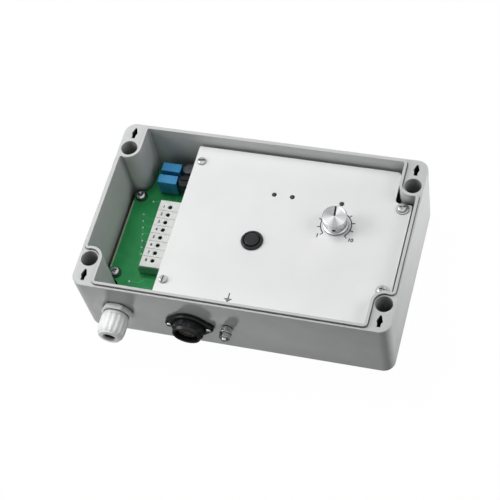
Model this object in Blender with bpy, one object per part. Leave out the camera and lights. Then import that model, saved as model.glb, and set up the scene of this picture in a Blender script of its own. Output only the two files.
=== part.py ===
"""Control box of a conveyor metal detector, lid off.

A moulded grey enclosure base holds a main board with its terminals, a white
aluminium cover panel with a sensitivity knob, a test button and three LEDs,
and in its front wall a cable gland, a round connector and an earth stud.

Metres, +Z up. The origin is the centre of the enclosure's underside, +X runs
along the long side and the wall with the gland faces -Y.
"""

import math

import bmesh
import bpy
from mathutils import Matrix, Vector
from mathutils.geometry import convex_hull_2d

# Gaps between pieces that touch or run in each other
TOUCH_GAP = 0.0003
RUNNING_GAP = 0.0006

# Enclosure base
BOX_LENGTH = 0.260
BOX_WIDTH = 0.160
BASE_HEIGHT = 0.068
WALL = 0.0045
FLOOR = 0.004
SIDE_DRAFT = 0.0012
CORNER_RADIUS = 0.0095
BOTTOM_FILLET = 0.003
RIM_FILLET = 0.0006
LIP_WIDTH = 0.0020
LIP_HEIGHT = 0.0020
INSIDE_FILLET = 0.0015
FLOOR_FILLET = 0.001

# Corner bosses with the wall fixing bores and the lid latch holes
BORE_DIAMETER = 0.014
BORE_TAPER = 0.002
BORE_FROM_END = 0.0093
BORE_FROM_SIDE = 0.025
BORE_FLOOR = 0.008
BOSS_WALL = 0.0037
BOSS_FLARE = 0.0008
FIXING_HOLE_DIAMETER = 0.0065
LATCH_FROM_END = 0.0095
LATCH_FROM_SIDE = 0.0098
LATCH_LENGTH = 0.0104
LATCH_WIDTH = 0.005
LATCH_STEM_WIDTH = 0.003
LATCH_FLANK = 0.0022
LATCH_DEPTH = 0.009

# Posts that carry the main board
POST_FROM_END = 0.015
POST_FROM_SIDE = 0.0415
POST_HEIGHT = 0.0141
POST_DIAMETER = 0.009
POST_FOOT_FLARE = 0.0015
POST_PILOT_DEPTH = 0.011

# Screws and washers
SCREW_SHANK = 0.0034
SCREW_LENGTH = 0.009
SLOT_WIDTH = 0.0011
LEFT_HEAD_DIAMETER = 0.007
LEFT_HEAD_HEIGHT = 0.0022
RIGHT_HEAD_DIAMETER = 0.0078
RIGHT_HEAD_HEIGHT = 0.0024
PANEL_WASHER_DIAMETER = 0.0105
BOARD_HEAD_DIAMETER = 0.0084
BOARD_HEAD_HEIGHT = 0.0028
BOARD_WASHER_DIAMETER = 0.0106
WASHER_THICKNESS = 0.0008
SPACER_ACROSS_FLATS = 0.007
SPACER_SPIGOT_DIAMETER = 0.0046

# Main board
BOARD_THICKNESS = 0.0016
BOARD_WALL_GAP = 0.0035
BOARD_BOSS_GAP = 0.0012

# Cover panel
PANEL_THICKNESS = 0.002
PANEL_DROP = 0.0105
PANEL_SIDE_GAP = 0.0024
PANEL_END_GAP = 0.0042
WIRING_BAY = 0.0648
NOTCH_LENGTH = 0.0135
NOTCH_WIDTH = 0.0298
NOTCH_RADIUS = 0.004
PANEL_CORNER_RADIUS = 0.0015
LEFT_SCREW_FROM_EDGE = 0.006
LEFT_SCREW_FROM_SIDE = 0.0152

# Terminal block
TERMINAL_COUNT = 8
TERMINAL_PITCH = 0.00762
TERMINAL_END = 0.0027
TERMINAL_DEPTH = 0.0205
TERMINAL_HEIGHT = 0.0098
TERMINAL_FROM_END = 0.0355
TERMINAL_FROM_BACK = 0.0818
TERMINAL_STEP_DEPTH = 0.0015
TERMINAL_STEP_HEIGHT = 0.0062
TERMINAL_ENTRY_WIDTH = 0.0036
TERMINAL_ENTRY_HEIGHT = 0.0034
TERMINAL_ENTRY_DEPTH = 0.007
TERMINAL_WELL_DIAMETER = 0.0048
TERMINAL_WELL_DEPTH = 0.0045
TERMINAL_SCREW_LINE = 0.0118
TERMINAL_SCREW_DIAMETER = 0.0038
TERMINAL_SCREW_HEIGHT = 0.0022
PLATE_THICKNESS = 0.0012
PLATE_SIDE_MARGIN = 0.0004
PLATE_HOLE_DIAMETER = 0.0036

# Tall components in the wiring bay
CAPACITOR_LENGTH = 0.017
CAPACITOR_WIDTH = 0.0084
CAPACITOR_HEIGHT = 0.018
CAPACITOR_FROM_END = 0.0394
CAPACITOR_FROM_BACK = 0.0194
CAPACITOR_PITCH = 0.0122
MOULDED_EDGE = 0.0006
FUSE_FROM_END = 0.055
FUSE_FROM_BACK = 0.0315
FUSE_DIAMETER = 0.0118
FUSE_BODY_HEIGHT = 0.0125
FUSE_BORE_DIAMETER = 0.0066
FUSE_BORE_DEPTH = 0.009
FUSE_CAP_HEIGHT = 0.0062
FUSE_PLUG_LENGTH = 0.0055
CAN_FROM_END = 0.0545
CAN_FROM_BACK = 0.0184
CAN_DIAMETER = 0.010
CAN_HEIGHT = 0.018

# Components under the panel
TRANSFORMER_LENGTH = 0.041
TRANSFORMER_WIDTH = 0.033
TRANSFORMER_HEIGHT = 0.022
TRANSFORMER_INSET = 0.0332
TRANSFORMER_FROM_BACK = 0.044
RELAY_LENGTH = 0.029
RELAY_WIDTH = 0.0127
RELAY_HEIGHT = 0.0157
RELAY_INSET = 0.030
RELAY_Y = -0.022
HEADER_LENGTH = 0.0254
HEADER_WIDTH = 0.005
HEADER_PINS = 5
HEADER_PIN_WIDTH = 0.0009
HEADER_SOCKET_HEIGHT = 0.0085
HEADER_STRIP_HEIGHT = 0.0025
HEADER_FROM_POT = 0.034

# Control board under the panel
CONTROL_DROP = 0.008
CONTROL_SIDE_MARGIN = 0.007
CONTROL_FRONT_MARGIN = 0.012

# Potentiometer and sensitivity knob
POT_FROM_PANEL_END = 0.0555
POT_Y = 0.015
POT_BODY_DIAMETER = 0.017
POT_BUSHING_DIAMETER = 0.0094
POT_BUSHING_HEIGHT = 0.0052
POT_SHAFT_DIAMETER = 0.006
POT_NUT_ACROSS_FLATS = 0.0125
POT_NUT_HEIGHT = 0.0024
POT_WASHER_DIAMETER = 0.0140
POT_SOCKET_DEPTH = 0.003
KNOB_TOP_DIAMETER = 0.0201
KNOB_BASE_DIAMETER = 0.0188
KNOB_HEIGHT = 0.014
KNOB_SKIRT_HEIGHT = 0.0022
KNOB_TOP_THICKNESS = 0.0022
KNOB_RECESS_DIAMETER = 0.0158
KNOB_CHAMFER = 0.0007
KNOB_DISH = 0.0004
KNOB_POINTER_WIDTH = 0.0011
KNOB_POINTER_DEPTH = 0.0005
KNOB_POINTER_ANGLE = 6.0
GRUB_DIAMETER = 0.0026
GRUB_HEIGHT = 0.0066
GRUB_SINK = 0.001

# Test button
BUTTON_FROM_POT = 0.0634
BUTTON_Y = -0.0108
BUTTON_BEZEL_DIAMETER = 0.018
BUTTON_BEZEL_HEIGHT = 0.0022
BUTTON_BARREL_DIAMETER = 0.0156
BUTTON_BARREL_LENGTH = 0.0165
BUTTON_CAP_DIAMETER = 0.0118
BUTTON_CAP_PROUD = 0.0012
BUTTON_CAP_LENGTH = 0.0075
BUTTON_TRAVEL = 0.0015
BUTTON_NUT_ACROSS_FLATS = 0.019
BUTTON_NUT_HEIGHT = 0.003
BUTTON_TAG_LENGTH = 0.005
BUTTON_TAG_WIDTH = 0.0028
BUTTON_TAG_THICKNESS = 0.0008
BUTTON_TAG_SPACING = 0.007

# Indicator LEDs
LED_DIAMETER = 0.003
LED_HOLE_DIAMETER = 0.004
LED_SPACER_DIAMETER = 0.0046
LED_SPACER_HEIGHT = 0.0042
LED_PROUD = 0.0005
LED_FROM_POT = 0.0566
LED_PITCH = 0.01524
LED_Y = 0.0355

# Front wall fittings: places along X and heights above the underside
GLAND_FROM_END = 0.034
GLAND_HEIGHT = 0.0345
CONNECTOR_FROM_END = 0.095
CONNECTOR_HEIGHT = 0.032
EARTH_FROM_END = 0.1265
EARTH_HEIGHT = 0.034

# Cable gland, measured along its own axis out of the wall
GLAND_THREAD_DIAMETER = 0.0156
GLAND_THREAD_LENGTH = 0.010
GLAND_BORE_DIAMETER = 0.0104
GLAND_HEX_ACROSS_FLATS = 0.0235
GLAND_HEX_TURN = 30.0
GLAND_HEX_HEIGHT = 0.0048
GLAND_SLEEVE_DIAMETER = 0.0184
GLAND_SLEEVE_LENGTH = 0.0085
GLAND_NUT_DIAMETER = 0.024
GLAND_NUT_LENGTH = 0.0206
GLAND_NUT_STRAIGHT = 0.0125
GLAND_COLLAR_DIAMETER = 0.0212
GLAND_COLLAR_LENGTH = 0.0024
GLAND_MOUTH_DIAMETER = 0.0106
GLAND_LIP = 0.0022
GLAND_NOSE_DIAMETER = 0.0168
GLAND_RIBS = 12
GLAND_RIB_DEPTH = 0.0007
GLAND_SEAL_OUTER = 0.0144
GLAND_SEAL_INNER = 0.0098
GLAND_LOCKNUT_HEIGHT = 0.0045

# Round connector, measured along its own axis out of the wall
CONNECTOR_FLANGE_RADIUS = 0.0155
CONNECTOR_EAR_RADIUS = 0.0041
CONNECTOR_EAR_SPACING = 0.0326
CONNECTOR_FLANGE_HEIGHT = 0.0034
CONNECTOR_BARREL_DIAMETER = 0.0262
CONNECTOR_BARREL_LENGTH = 0.0056
CONNECTOR_BARREL_RIBS = 8
CONNECTOR_RIB_DEPTH = 0.0009
CONNECTOR_NECK_DIAMETER = 0.0234
CONNECTOR_LENGTH = 0.0125
CONNECTOR_SOCKET_DIAMETER = 0.0192
CONNECTOR_SOCKET_FLOOR = 0.003
CONNECTOR_REAR_DIAMETER = 0.0214
CONNECTOR_REAR_LENGTH = 0.0075
CONNECTOR_CORE_DIAMETER = 0.0148
CONNECTOR_CORE_HEIGHT = 0.009
CONNECTOR_CORE_COLLAR = 0.0017
CONNECTOR_CONTACTS = 6
CONNECTOR_CONTACT_DIAMETER = 0.0022
CONNECTOR_CONTACT_CIRCLE = 0.0086
CONNECTOR_CONTACT_DEPTH = 0.005
FLANGE_SCREW_SHANK = 0.0024
FLANGE_SCREW_HEAD = 0.0052
FLANGE_SCREW_HEAD_HEIGHT = 0.0018
FLANGE_SCREW_BITE = 0.0026

# Earth stud, measured along its own axis out of the wall
STUD_DIAMETER = 0.0048
STUD_LENGTH = 0.0118
STUD_HEAD_HEIGHT = 0.0035
STUD_NUT_ACROSS_FLATS = 0.008
STUD_NUT_HEIGHT = 0.004
STUD_WASHER_DIAMETER = 0.010
STUD_WASHER_THICKNESS = 0.001
NUT_CHAMFER = 0.0005

# Values worked out from the sizes above
HALF_LENGTH = BOX_LENGTH / 2
HALF_WIDTH = BOX_WIDTH / 2
LEFT_END = -HALF_LENGTH
BORE_X = HALF_LENGTH - BORE_FROM_END
BORE_Y = HALF_WIDTH - BORE_FROM_SIDE
BOSS_RADIUS = BORE_DIAMETER / 2 + BOSS_WALL
POST_X = HALF_LENGTH - POST_FROM_END
POST_Y = HALF_WIDTH - POST_FROM_SIDE
SCREW_HOLE_RADIUS = SCREW_SHANK / 2 + TOUCH_GAP
POST_TOP = FLOOR + POST_HEIGHT
BOARD_BOTTOM = POST_TOP + TOUCH_GAP
BOARD_TOP = BOARD_BOTTOM + BOARD_THICKNESS
BOARD_SEAT = BOARD_TOP + TOUCH_GAP
PANEL_TOP = BASE_HEIGHT - PANEL_DROP
PANEL_BOTTOM = PANEL_TOP - PANEL_THICKNESS
PANEL_LEFT = LEFT_END + WIRING_BAY
PANEL_RIGHT = HALF_LENGTH - WALL - PANEL_END_GAP
PANEL_HALF_WIDTH = HALF_WIDTH - WALL - PANEL_SIDE_GAP
SPACER_LENGTH = PANEL_BOTTOM - BOARD_TOP - 2 * TOUCH_GAP
CONTROL_TOP = PANEL_BOTTOM - CONTROL_DROP
CONTROL_BOTTOM = CONTROL_TOP - BOARD_THICKNESS
POT_X = PANEL_RIGHT - POT_FROM_PANEL_END
BUTTON_X = POT_X - BUTTON_FROM_POT
LED_PLACES = {
    "led_left": (POT_X - LED_FROM_POT, LED_Y),
    "led_middle": (POT_X - LED_FROM_POT + LED_PITCH, LED_Y),
    "led_right": (POT_X, LED_Y),
}
CONTROL_LEFT = POT_X - LED_FROM_POT - CONTROL_SIDE_MARGIN
CONTROL_RIGHT = POT_X + 2 * CONTROL_SIDE_MARGIN
CONTROL_FRONT = POT_Y - CONTROL_FRONT_MARGIN
CONTROL_BACK = LED_Y + CONTROL_SIDE_MARGIN
TERMINAL_LENGTH = TERMINAL_COUNT * TERMINAL_PITCH + 2 * TERMINAL_END
TERMINAL_X = LEFT_END + TERMINAL_FROM_END
TERMINAL_Y = HALF_WIDTH - TERMINAL_FROM_BACK
CAPACITOR_BACK_Y = HALF_WIDTH - CAPACITOR_FROM_BACK
FUSE_Y = HALF_WIDTH - FUSE_FROM_BACK
CAN_Y = HALF_WIDTH - CAN_FROM_BACK
TRANSFORMER_Y = HALF_WIDTH - TRANSFORMER_FROM_BACK
DRAFT_ANGLE = math.atan2(SIDE_DRAFT, BASE_HEIGHT)
ROUND_STEPS = 24
SMALL_STEPS = 12
SCREW_STEPS = 12
KNOB_STEPS = 28
GRIP_STEPS = 24
BARREL_STEPS = 24
BORE_STEPS = 20
FINE_STEPS = 8
ARC_STEPS = 5
PAST = 0.002


def srgb(red, green, blue):
    """Turn 0 to 255 display values into the linear colour that shaders use."""
    linear = []
    for value in (red, green, blue):
        share = value / 255
        linear.append(share / 12.92 if share <= 0.04045 else ((share + 0.055) / 1.055) ** 2.4)
    return (*linear, 1.0)


def make_material(name, colour, roughness, metallic=0.0):
    """One Principled material with the finish of a real piece."""
    material = bpy.data.materials.new(name)
    material.use_nodes = True
    shader = material.node_tree.nodes["Principled BSDF"]
    shader.inputs["Base Color"].default_value = srgb(*colour)
    shader.inputs["Roughness"].default_value = roughness
    shader.inputs["Metallic"].default_value = metallic
    return material


def clear_scene():
    """Start from an empty scene."""
    for thing in list(bpy.data.objects):
        bpy.data.objects.remove(thing, do_unlink=True)


def to_mesh(name, bm, smooth=True):
    """Close a bmesh into mesh data with outward faces."""
    bmesh.ops.recalc_face_normals(bm, faces=bm.faces)
    mesh = bpy.data.meshes.new(name)
    bm.to_mesh(mesh)
    bm.free()
    if smooth:
        mesh.shade_smooth()
        mesh.set_sharp_from_angle(angle=math.radians(32))
    return mesh


def place(name, mesh, material=None, location=(0, 0, 0), parent=None, turn=0.0):
    """Put a mesh in the scene as one named object."""
    thing = bpy.data.objects.new(name, mesh)
    bpy.context.collection.objects.link(thing)
    thing.location = location
    thing.rotation_euler = (0, 0, turn)
    thing.parent = parent
    if material is not None and not mesh.materials:
        mesh.materials.append(material)
    return thing


def empty_at(name, location, rotation=(0, 0, 0)):
    """An axis or a seat that other pieces are parented to."""
    marker = bpy.data.objects.new(name, None)
    bpy.context.collection.objects.link(marker)
    marker.location = location
    marker.rotation_euler = rotation
    return marker


def shape(target, tool, operation="DIFFERENCE"):
    """Cut or join a target with a guide solid that stays out of the render."""
    tool.hide_render = True
    tool.display_type = "WIRE"
    boolean = target.modifiers.new(operation.title(), "BOOLEAN")
    boolean.operation = operation
    boolean.solver = "EXACT"
    boolean.object = tool


def settled_mesh(thing, name):
    """The mesh of an object with its modifiers applied, for copies to share."""
    bpy.context.view_layer.update()
    graph = bpy.context.evaluated_depsgraph_get()
    mesh = bpy.data.meshes.new_from_object(thing.evaluated_get(graph))
    mesh.name = name
    return mesh


def arc(centre_x, centre_y, radius, start, end, steps):
    """Points on an arc, angles in degrees."""
    points = []
    for step in range(steps + 1):
        angle = math.radians(start + (end - start) * step / steps)
        points.append((centre_x + radius * math.cos(angle), centre_y + radius * math.sin(angle)))
    return points


def rounded_rectangle(half_x, half_y, radius, steps=ARC_STEPS):
    """Outline of a rectangle with round corners, counter-clockwise."""
    points = []
    for side_x, side_y, start in ((1, 1, 0), (-1, 1, 90), (-1, -1, 180), (1, -1, 270)):
        centre_x = side_x * (half_x - radius)
        centre_y = side_y * (half_y - radius)
        points += arc(centre_x, centre_y, radius, start, start + 90, steps)
    return points


def filleted_outline(corners, steps=4):
    """Round each corner (x, y, radius) of a closed outline."""
    points = []
    count = len(corners)
    for index, (x, y, radius) in enumerate(corners):
        here = Vector((x, y))
        before = (Vector(corners[index - 1][:2]) - here).normalized()
        after = (Vector(corners[(index + 1) % count][:2]) - here).normalized()
        if radius <= 0:
            points.append((x, y))
            continue
        half_angle = before.angle(after) / 2
        centre = here + (before + after).normalized() * radius / math.sin(half_angle)
        first = here + before * radius / math.tan(half_angle) - centre
        last = here + after * radius / math.tan(half_angle) - centre
        sweep = first.angle_signed(last)
        for step in range(steps + 1):
            spoke = first.copy()
            spoke.rotate(Matrix.Rotation(-sweep * step / steps, 2))
            points.append(tuple(centre + spoke))
    return points


def boss_outline(half_x, half_y, boss_radius, fillet):
    """Inside outline of the walls, stepping round the four corner bosses.

    Each boss is a round column about its bore, joined to the side wall by a
    fillet and to the long wall by a flat land.
    """
    side_centre_x = half_x - fillet
    reach_x = side_centre_x - BORE_X
    side_centre_y = BORE_Y - math.sqrt((boss_radius + fillet) ** 2 - reach_x**2)
    lean = math.degrees(math.atan2(BORE_Y - side_centre_y, -reach_x))
    land_x = BORE_X - boss_radius
    quarter = arc(side_centre_x, side_centre_y, fillet, 0, lean, 3)
    quarter += arc(BORE_X, BORE_Y, boss_radius, lean - 180, -180, 7)
    quarter += arc(land_x - fillet, half_y - fillet, fillet, 0, 90, 3)
    outline = list(quarter)
    outline += [(-x, y) for x, y in reversed(quarter)]
    outline += [(-x, -y) for x, y in quarter]
    outline += [(x, -y) for x, y in reversed(quarter)]
    return outline


def skin_rings(bm, rings, hollow=False):
    """Join rings of points with faces; cap the ends, or close the loop if hollow."""
    loops = [[bm.verts.new(point) for point in ring] for ring in rings]
    pairs = list(zip(loops, loops[1:]))
    if hollow:
        pairs.append((loops[-1], loops[0]))
    else:
        bm.faces.new(loops[0])
        bm.faces.new(loops[-1])
    count = len(loops[0])
    for lower, upper in pairs:
        for step in range(count):
            ahead = (step + 1) % count
            bm.faces.new((lower[step], lower[ahead], upper[ahead], upper[step]))


def lofted(name, rings, smooth=True):
    """A solid skinned over rings of (x, y, z) points."""
    bm = bmesh.new()
    skin_rings(bm, rings)
    return to_mesh(name, bm, smooth)


def polar_loft(name, sections, segments=ROUND_STEPS, hollow=False):
    """A solid whose rings have a radius that is a number or depends on the angle."""
    bm = bmesh.new()
    rings = []
    for radius, height in sections:
        ring = []
        for step in range(segments):
            angle = 2 * math.pi * step / segments
            reach = radius(angle) if callable(radius) else radius
            ring.append((reach * math.cos(angle), reach * math.sin(angle), height))
        rings.append(ring)
    skin_rings(bm, rings, hollow)
    return to_mesh(name, bm)


def add_turned(bm, profile, centre=(0, 0), steps=ROUND_STEPS):
    """Spin an (r, z) profile about a vertical axis; one that ends off the axis closes up."""
    points = [bm.verts.new((centre[0] + radius, centre[1], height)) for radius, height in profile]
    edges = [bm.edges.new(pair) for pair in zip(points, points[1:])]
    if profile[0][0] > 0:
        edges.append(bm.edges.new((points[-1], points[0])))
    bmesh.ops.spin(
        bm,
        geom=points + edges,
        cent=(centre[0], centre[1], 0),
        axis=(0, 0, 1),
        angle=2 * math.pi,
        steps=steps,
        use_merge=True,
    )
    bmesh.ops.remove_doubles(bm, verts=bm.verts, dist=1e-6)


def turned(name, profile, steps=ROUND_STEPS):
    """A lathe-turned solid from an (r, z) profile."""
    bm = bmesh.new()
    add_turned(bm, profile, steps=steps)
    return to_mesh(name, bm)


def add_prism(bm, outline, bottom, top):
    """Extrude a flat outline from one height to another."""
    base = bm.faces.new([bm.verts.new((x, y, bottom)) for x, y in outline])
    raised = bmesh.ops.extrude_face_region(bm, geom=[base])
    lifted = [item for item in raised["geom"] if isinstance(item, bmesh.types.BMVert)]
    bmesh.ops.translate(bm, verts=lifted, vec=(0, 0, top - bottom))


def prism(name, outline, bottom, top, smooth=True):
    """A flat outline extruded to a solid."""
    bm = bmesh.new()
    add_prism(bm, outline, bottom, top)
    return to_mesh(name, bm, smooth)


def add_box(bm, low, high):
    """A box between two corners."""
    add_prism(
        bm,
        [(low[0], low[1]), (high[0], low[1]), (high[0], high[1]), (low[0], high[1])],
        low[2],
        high[2],
    )


def rod_profile(radius, bottom, top):
    """Profile of a plain cylinder."""
    return [(0, bottom), (radius, bottom), (radius, top), (0, top)]


def rod_tool(name, rods, parent=None, steps=ROUND_STEPS):
    """One guide object that holds several upright rods: (x, y, radius, bottom, top)."""
    bm = bmesh.new()
    for x, y, radius, bottom, top in rods:
        add_turned(bm, rod_profile(radius, bottom, top), (x, y), steps)
    return place(name, to_mesh(name, bm), parent=parent)


def hexagon(across_flats, turn=0.0):
    """Radius of a hexagon at an angle, flats square to the turned axis."""
    def radius(angle):
        side = (angle - turn + math.pi / 6) % (math.pi / 3) - math.pi / 6
        return across_flats / 2 / math.cos(side)
    return radius


def ribbed(radius, ribs, depth):
    """Radius of a grip with raised ribs at an angle."""
    def reach(angle):
        phase = (angle * ribs / (2 * math.pi)) % 1
        return radius if phase < 0.5 else radius - depth
    return reach


def draft_inset(height):
    """How far the drafted walls stand in from the rim's outline at a height."""
    return SIDE_DRAFT * (1 - height / BASE_HEIGHT)


def wall_seat(name, from_end, height):
    """A marker on the outside of the front wall, its Z along the wall's outward normal."""
    face_y = -(HALF_WIDTH - draft_inset(height))
    return empty_at(name, (LEFT_END + from_end, face_y, height), (math.pi / 2 + DRAFT_ANGLE, 0, 0))


def enclosure_shell():
    """Outer skin of the base: drafted walls, round corners, a filleted bottom edge."""
    rings = []
    levels = []
    for step in range(4):
        angle = math.radians(30 * step)
        inset = BOTTOM_FILLET * (1 - math.sin(angle))
        levels.append((BOTTOM_FILLET * (1 - math.cos(angle)), inset))
    levels.append((BASE_HEIGHT - RIM_FILLET, 0))
    levels.append((BASE_HEIGHT, RIM_FILLET))
    for height, inset in levels:
        pull = inset + draft_inset(height)
        outline = rounded_rectangle(HALF_LENGTH - pull, HALF_WIDTH - pull, CORNER_RADIUS - inset)
        rings.append([(x, y, height) for x, y in outline])
    return lofted("enclosure_base", rings)


def cavity_ring(height, grow=0.0):
    """Inside outline of the base at a height, moved outward by grow."""
    pull = WALL + draft_inset(height) - grow
    boss = BOSS_RADIUS + BOSS_FLARE * (1 - height / BASE_HEIGHT) - grow
    return boss_outline(HALF_LENGTH - pull, HALF_WIDTH - pull, boss, INSIDE_FILLET + grow)


def lip_tool():
    """Guide solid for the raised lip that the lid's seal closes on."""
    levels = (
        (BASE_HEIGHT - LIP_HEIGHT, LIP_WIDTH),
        (BASE_HEIGHT + LIP_HEIGHT - RIM_FILLET / 2, LIP_WIDTH),
        (BASE_HEIGHT + LIP_HEIGHT, LIP_WIDTH - RIM_FILLET / 2),
    )
    rings = [[(x, y, height) for x, y in cavity_ring(height, grow)] for height, grow in levels]
    return place("lip_tool", lofted("lip_tool", rings))


def cavity_tool():
    """Guide solid for the inside of the base, from the floor out past the lip."""
    levels = []
    for step in range(3):
        angle = math.radians(45 * step)
        grow = -FLOOR_FILLET * (1 - math.sin(angle))
        levels.append((FLOOR + FLOOR_FILLET * (1 - math.cos(angle)), grow))
    levels.append((BASE_HEIGHT + LIP_HEIGHT + PAST, 0))
    rings = [[(x, y, height) for x, y in cavity_ring(height, grow)] for height, grow in levels]
    return place("cavity_tool", lofted("cavity_tool", rings))


def latch_outline(centre_x, centre_y):
    """Arrow-shaped hole that takes the lid's quarter-turn latch."""
    stem = LATCH_STEM_WIDTH / 2
    half_width = LATCH_WIDTH / 2
    half_length = LATCH_LENGTH / 2
    tip = stem / 2
    points = [
        (-stem, -half_length),
        (stem, -half_length),
        (stem, -LATCH_FLANK),
        (half_width, 0),
        (tip, half_length),
        (-tip, half_length),
        (-half_width, 0),
        (-stem, -LATCH_FLANK),
    ]
    return [(centre_x + x, centre_y + y) for x, y in points]


def corner_tool():
    """Guide solid for the four fixing bores and the four latch holes."""
    bm = bmesh.new()
    mouth = BORE_DIAMETER / 2
    taper = BORE_TAPER / 2
    profile = [
        (0, -PAST),
        (FIXING_HOLE_DIAMETER / 2, -PAST),
        (FIXING_HOLE_DIAMETER / 2, BORE_FLOOR),
        (mouth - taper, BORE_FLOOR),
        (mouth, BASE_HEIGHT),
        (mouth, BASE_HEIGHT + PAST),
        (0, BASE_HEIGHT + PAST),
    ]
    latch_x = HALF_LENGTH - LATCH_FROM_END
    latch_y = HALF_WIDTH - LATCH_FROM_SIDE
    for side_x in (-1, 1):
        for side_y in (-1, 1):
            add_turned(bm, profile, (side_x * BORE_X, side_y * BORE_Y), BORE_STEPS)
            outline = latch_outline(side_x * latch_x, side_y * latch_y)
            add_prism(bm, outline, BASE_HEIGHT - LATCH_DEPTH, BASE_HEIGHT + PAST)
    return place("corner_tool", to_mesh("corner_tool", bm))


def post_tools():
    """Guide solids for the board posts and for the pilot holes in them."""
    posts = bmesh.new()
    radius = POST_DIAMETER / 2
    foot = radius + POST_FOOT_FLARE
    sunk = FLOOR / 2
    profile = [
        (0, sunk),
        (foot, sunk),
        (foot, FLOOR),
        (radius, FLOOR + POST_FOOT_FLARE),
        (radius, POST_TOP),
        (0, POST_TOP),
    ]
    pilots = []
    for side_x in (-1, 1):
        for side_y in (-1, 1):
            centre = (side_x * POST_X, side_y * POST_Y)
            add_turned(posts, profile, centre, SMALL_STEPS)
            pilots.append((*centre, SCREW_HOLE_RADIUS, POST_TOP - POST_PILOT_DEPTH, POST_TOP + PAST))
    return place("post_tool", to_mesh("post_tool", posts)), rod_tool("pilot_tool", pilots, steps=SMALL_STEPS)


def build_enclosure(material, gland_seat, connector_seat, earth_seat):
    """The moulded base: shell, lip, cavity, bosses, bores, latch holes, posts, wall holes."""
    base = place("enclosure_base", enclosure_shell(), material)
    posts, pilots = post_tools()
    shape(base, lip_tool(), "UNION")
    shape(base, cavity_tool())
    shape(base, posts, "UNION")
    shape(base, corner_tool())
    shape(base, pilots)
    inside = -WALL - PAST
    gland_hole = (0, 0, GLAND_THREAD_DIAMETER / 2 + TOUCH_GAP, inside, PAST)
    shape(base, rod_tool("gland_hole_tool", [gland_hole], gland_seat))
    ear = CONNECTOR_EAR_SPACING / 2
    pilot = FLANGE_SCREW_SHANK / 2 + TOUCH_GAP
    bite = FLANGE_SCREW_BITE + TOUCH_GAP
    connector_holes = [
        (0, 0, CONNECTOR_REAR_DIAMETER / 2 + TOUCH_GAP, inside, PAST),
        (-ear, 0, pilot, -bite, PAST),
        (ear, 0, pilot, -bite, PAST),
    ]
    shape(base, rod_tool("connector_hole_tool", connector_holes, connector_seat))
    earth_hole = (0, 0, STUD_DIAMETER / 2 + TOUCH_GAP, inside, PAST)
    shape(base, rod_tool("earth_hole_tool", [earth_hole], earth_seat, SMALL_STEPS))
    return base


def screw_mesh(name, head_diameter, head_height, shank_diameter, length, drive):
    """A screw with its seat at height zero: a cross or slotted pan head, or a small slotted one."""
    head = head_diameter / 2
    shank = shank_diameter / 2
    cross = drive == "cross"
    small = drive == "small slot"
    profile = [(0, -length), (shank, -length), (shank, 0), (head, 0)]
    if small:
        profile.append((head, head_height))
    else:
        profile += [(head, head_height * 0.55), (head * 0.75, head_height)]
    profile.append((0, head_height))
    steps = FINE_STEPS if small else SCREW_STEPS
    body = place(name + "_blank", turned(name + "_blank", profile, steps))
    bm = bmesh.new()
    reach = head * 0.55 if cross else head * 1.2
    half_slot = SLOT_WIDTH / 2
    floor = head_height * 0.45
    top = head_height + PAST
    if cross:
        arms = [
            (half_slot, half_slot),
            (half_slot, reach),
            (-half_slot, reach),
            (-half_slot, half_slot),
            (-reach, half_slot),
            (-reach, -half_slot),
            (-half_slot, -half_slot),
            (-half_slot, -reach),
            (half_slot, -reach),
            (half_slot, -half_slot),
            (reach, -half_slot),
            (reach, half_slot),
        ]
        add_prism(bm, arms, floor, top)
    else:
        add_box(bm, (-reach, -half_slot, floor), (reach, half_slot, top))
    tool = place(name + "_drive", to_mesh(name + "_drive", bm))
    shape(body, tool)
    mesh = settled_mesh(body, name)
    bpy.data.objects.remove(body, do_unlink=True)
    bpy.data.objects.remove(tool, do_unlink=True)
    return mesh


def washer_mesh(name, outer_diameter, hole_radius, thickness):
    """A flat washer, its underside at height zero."""
    outer = outer_diameter / 2
    profile = [(hole_radius, 0), (outer, 0), (outer, thickness), (hole_radius, thickness)]
    return turned(name, profile, SCREW_STEPS)


def nut_mesh(name, across_flats, hole_radius, height, steps=SMALL_STEPS):
    """A hexagon nut with turned chamfers, its underside at height zero."""
    flat = across_flats / 2
    outer = hexagon(across_flats)
    hole = hole_radius / math.cos(math.pi / steps)
    sections = [
        (hole, 0),
        (flat - NUT_CHAMFER / 2, 0),
        (outer, NUT_CHAMFER),
        (outer, height - NUT_CHAMFER),
        (flat - NUT_CHAMFER / 2, height),
        (hole, height),
    ]
    return polar_loft(name, sections, steps, hollow=True)


def spacer_mesh(name, spigot_diameter, spigot_length):
    """A hexagon spacer with a spigot below and a blind threaded hole on top."""
    outer = hexagon(SPACER_ACROSS_FLATS)
    flat = SPACER_ACROSS_FLATS / 2
    hole_floor = SPACER_LENGTH - SCREW_LENGTH
    sections = [
        (spigot_diameter / 2, -spigot_length),
        (spigot_diameter / 2, 0),
        (flat - NUT_CHAMFER / 2, 0),
        (outer, NUT_CHAMFER),
        (outer, SPACER_LENGTH - NUT_CHAMFER),
        (flat - NUT_CHAMFER / 2, SPACER_LENGTH),
        (SCREW_HOLE_RADIUS, SPACER_LENGTH),
        (SCREW_HOLE_RADIUS, hole_floor),
    ]
    return polar_loft(name, sections, SMALL_STEPS)


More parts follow.
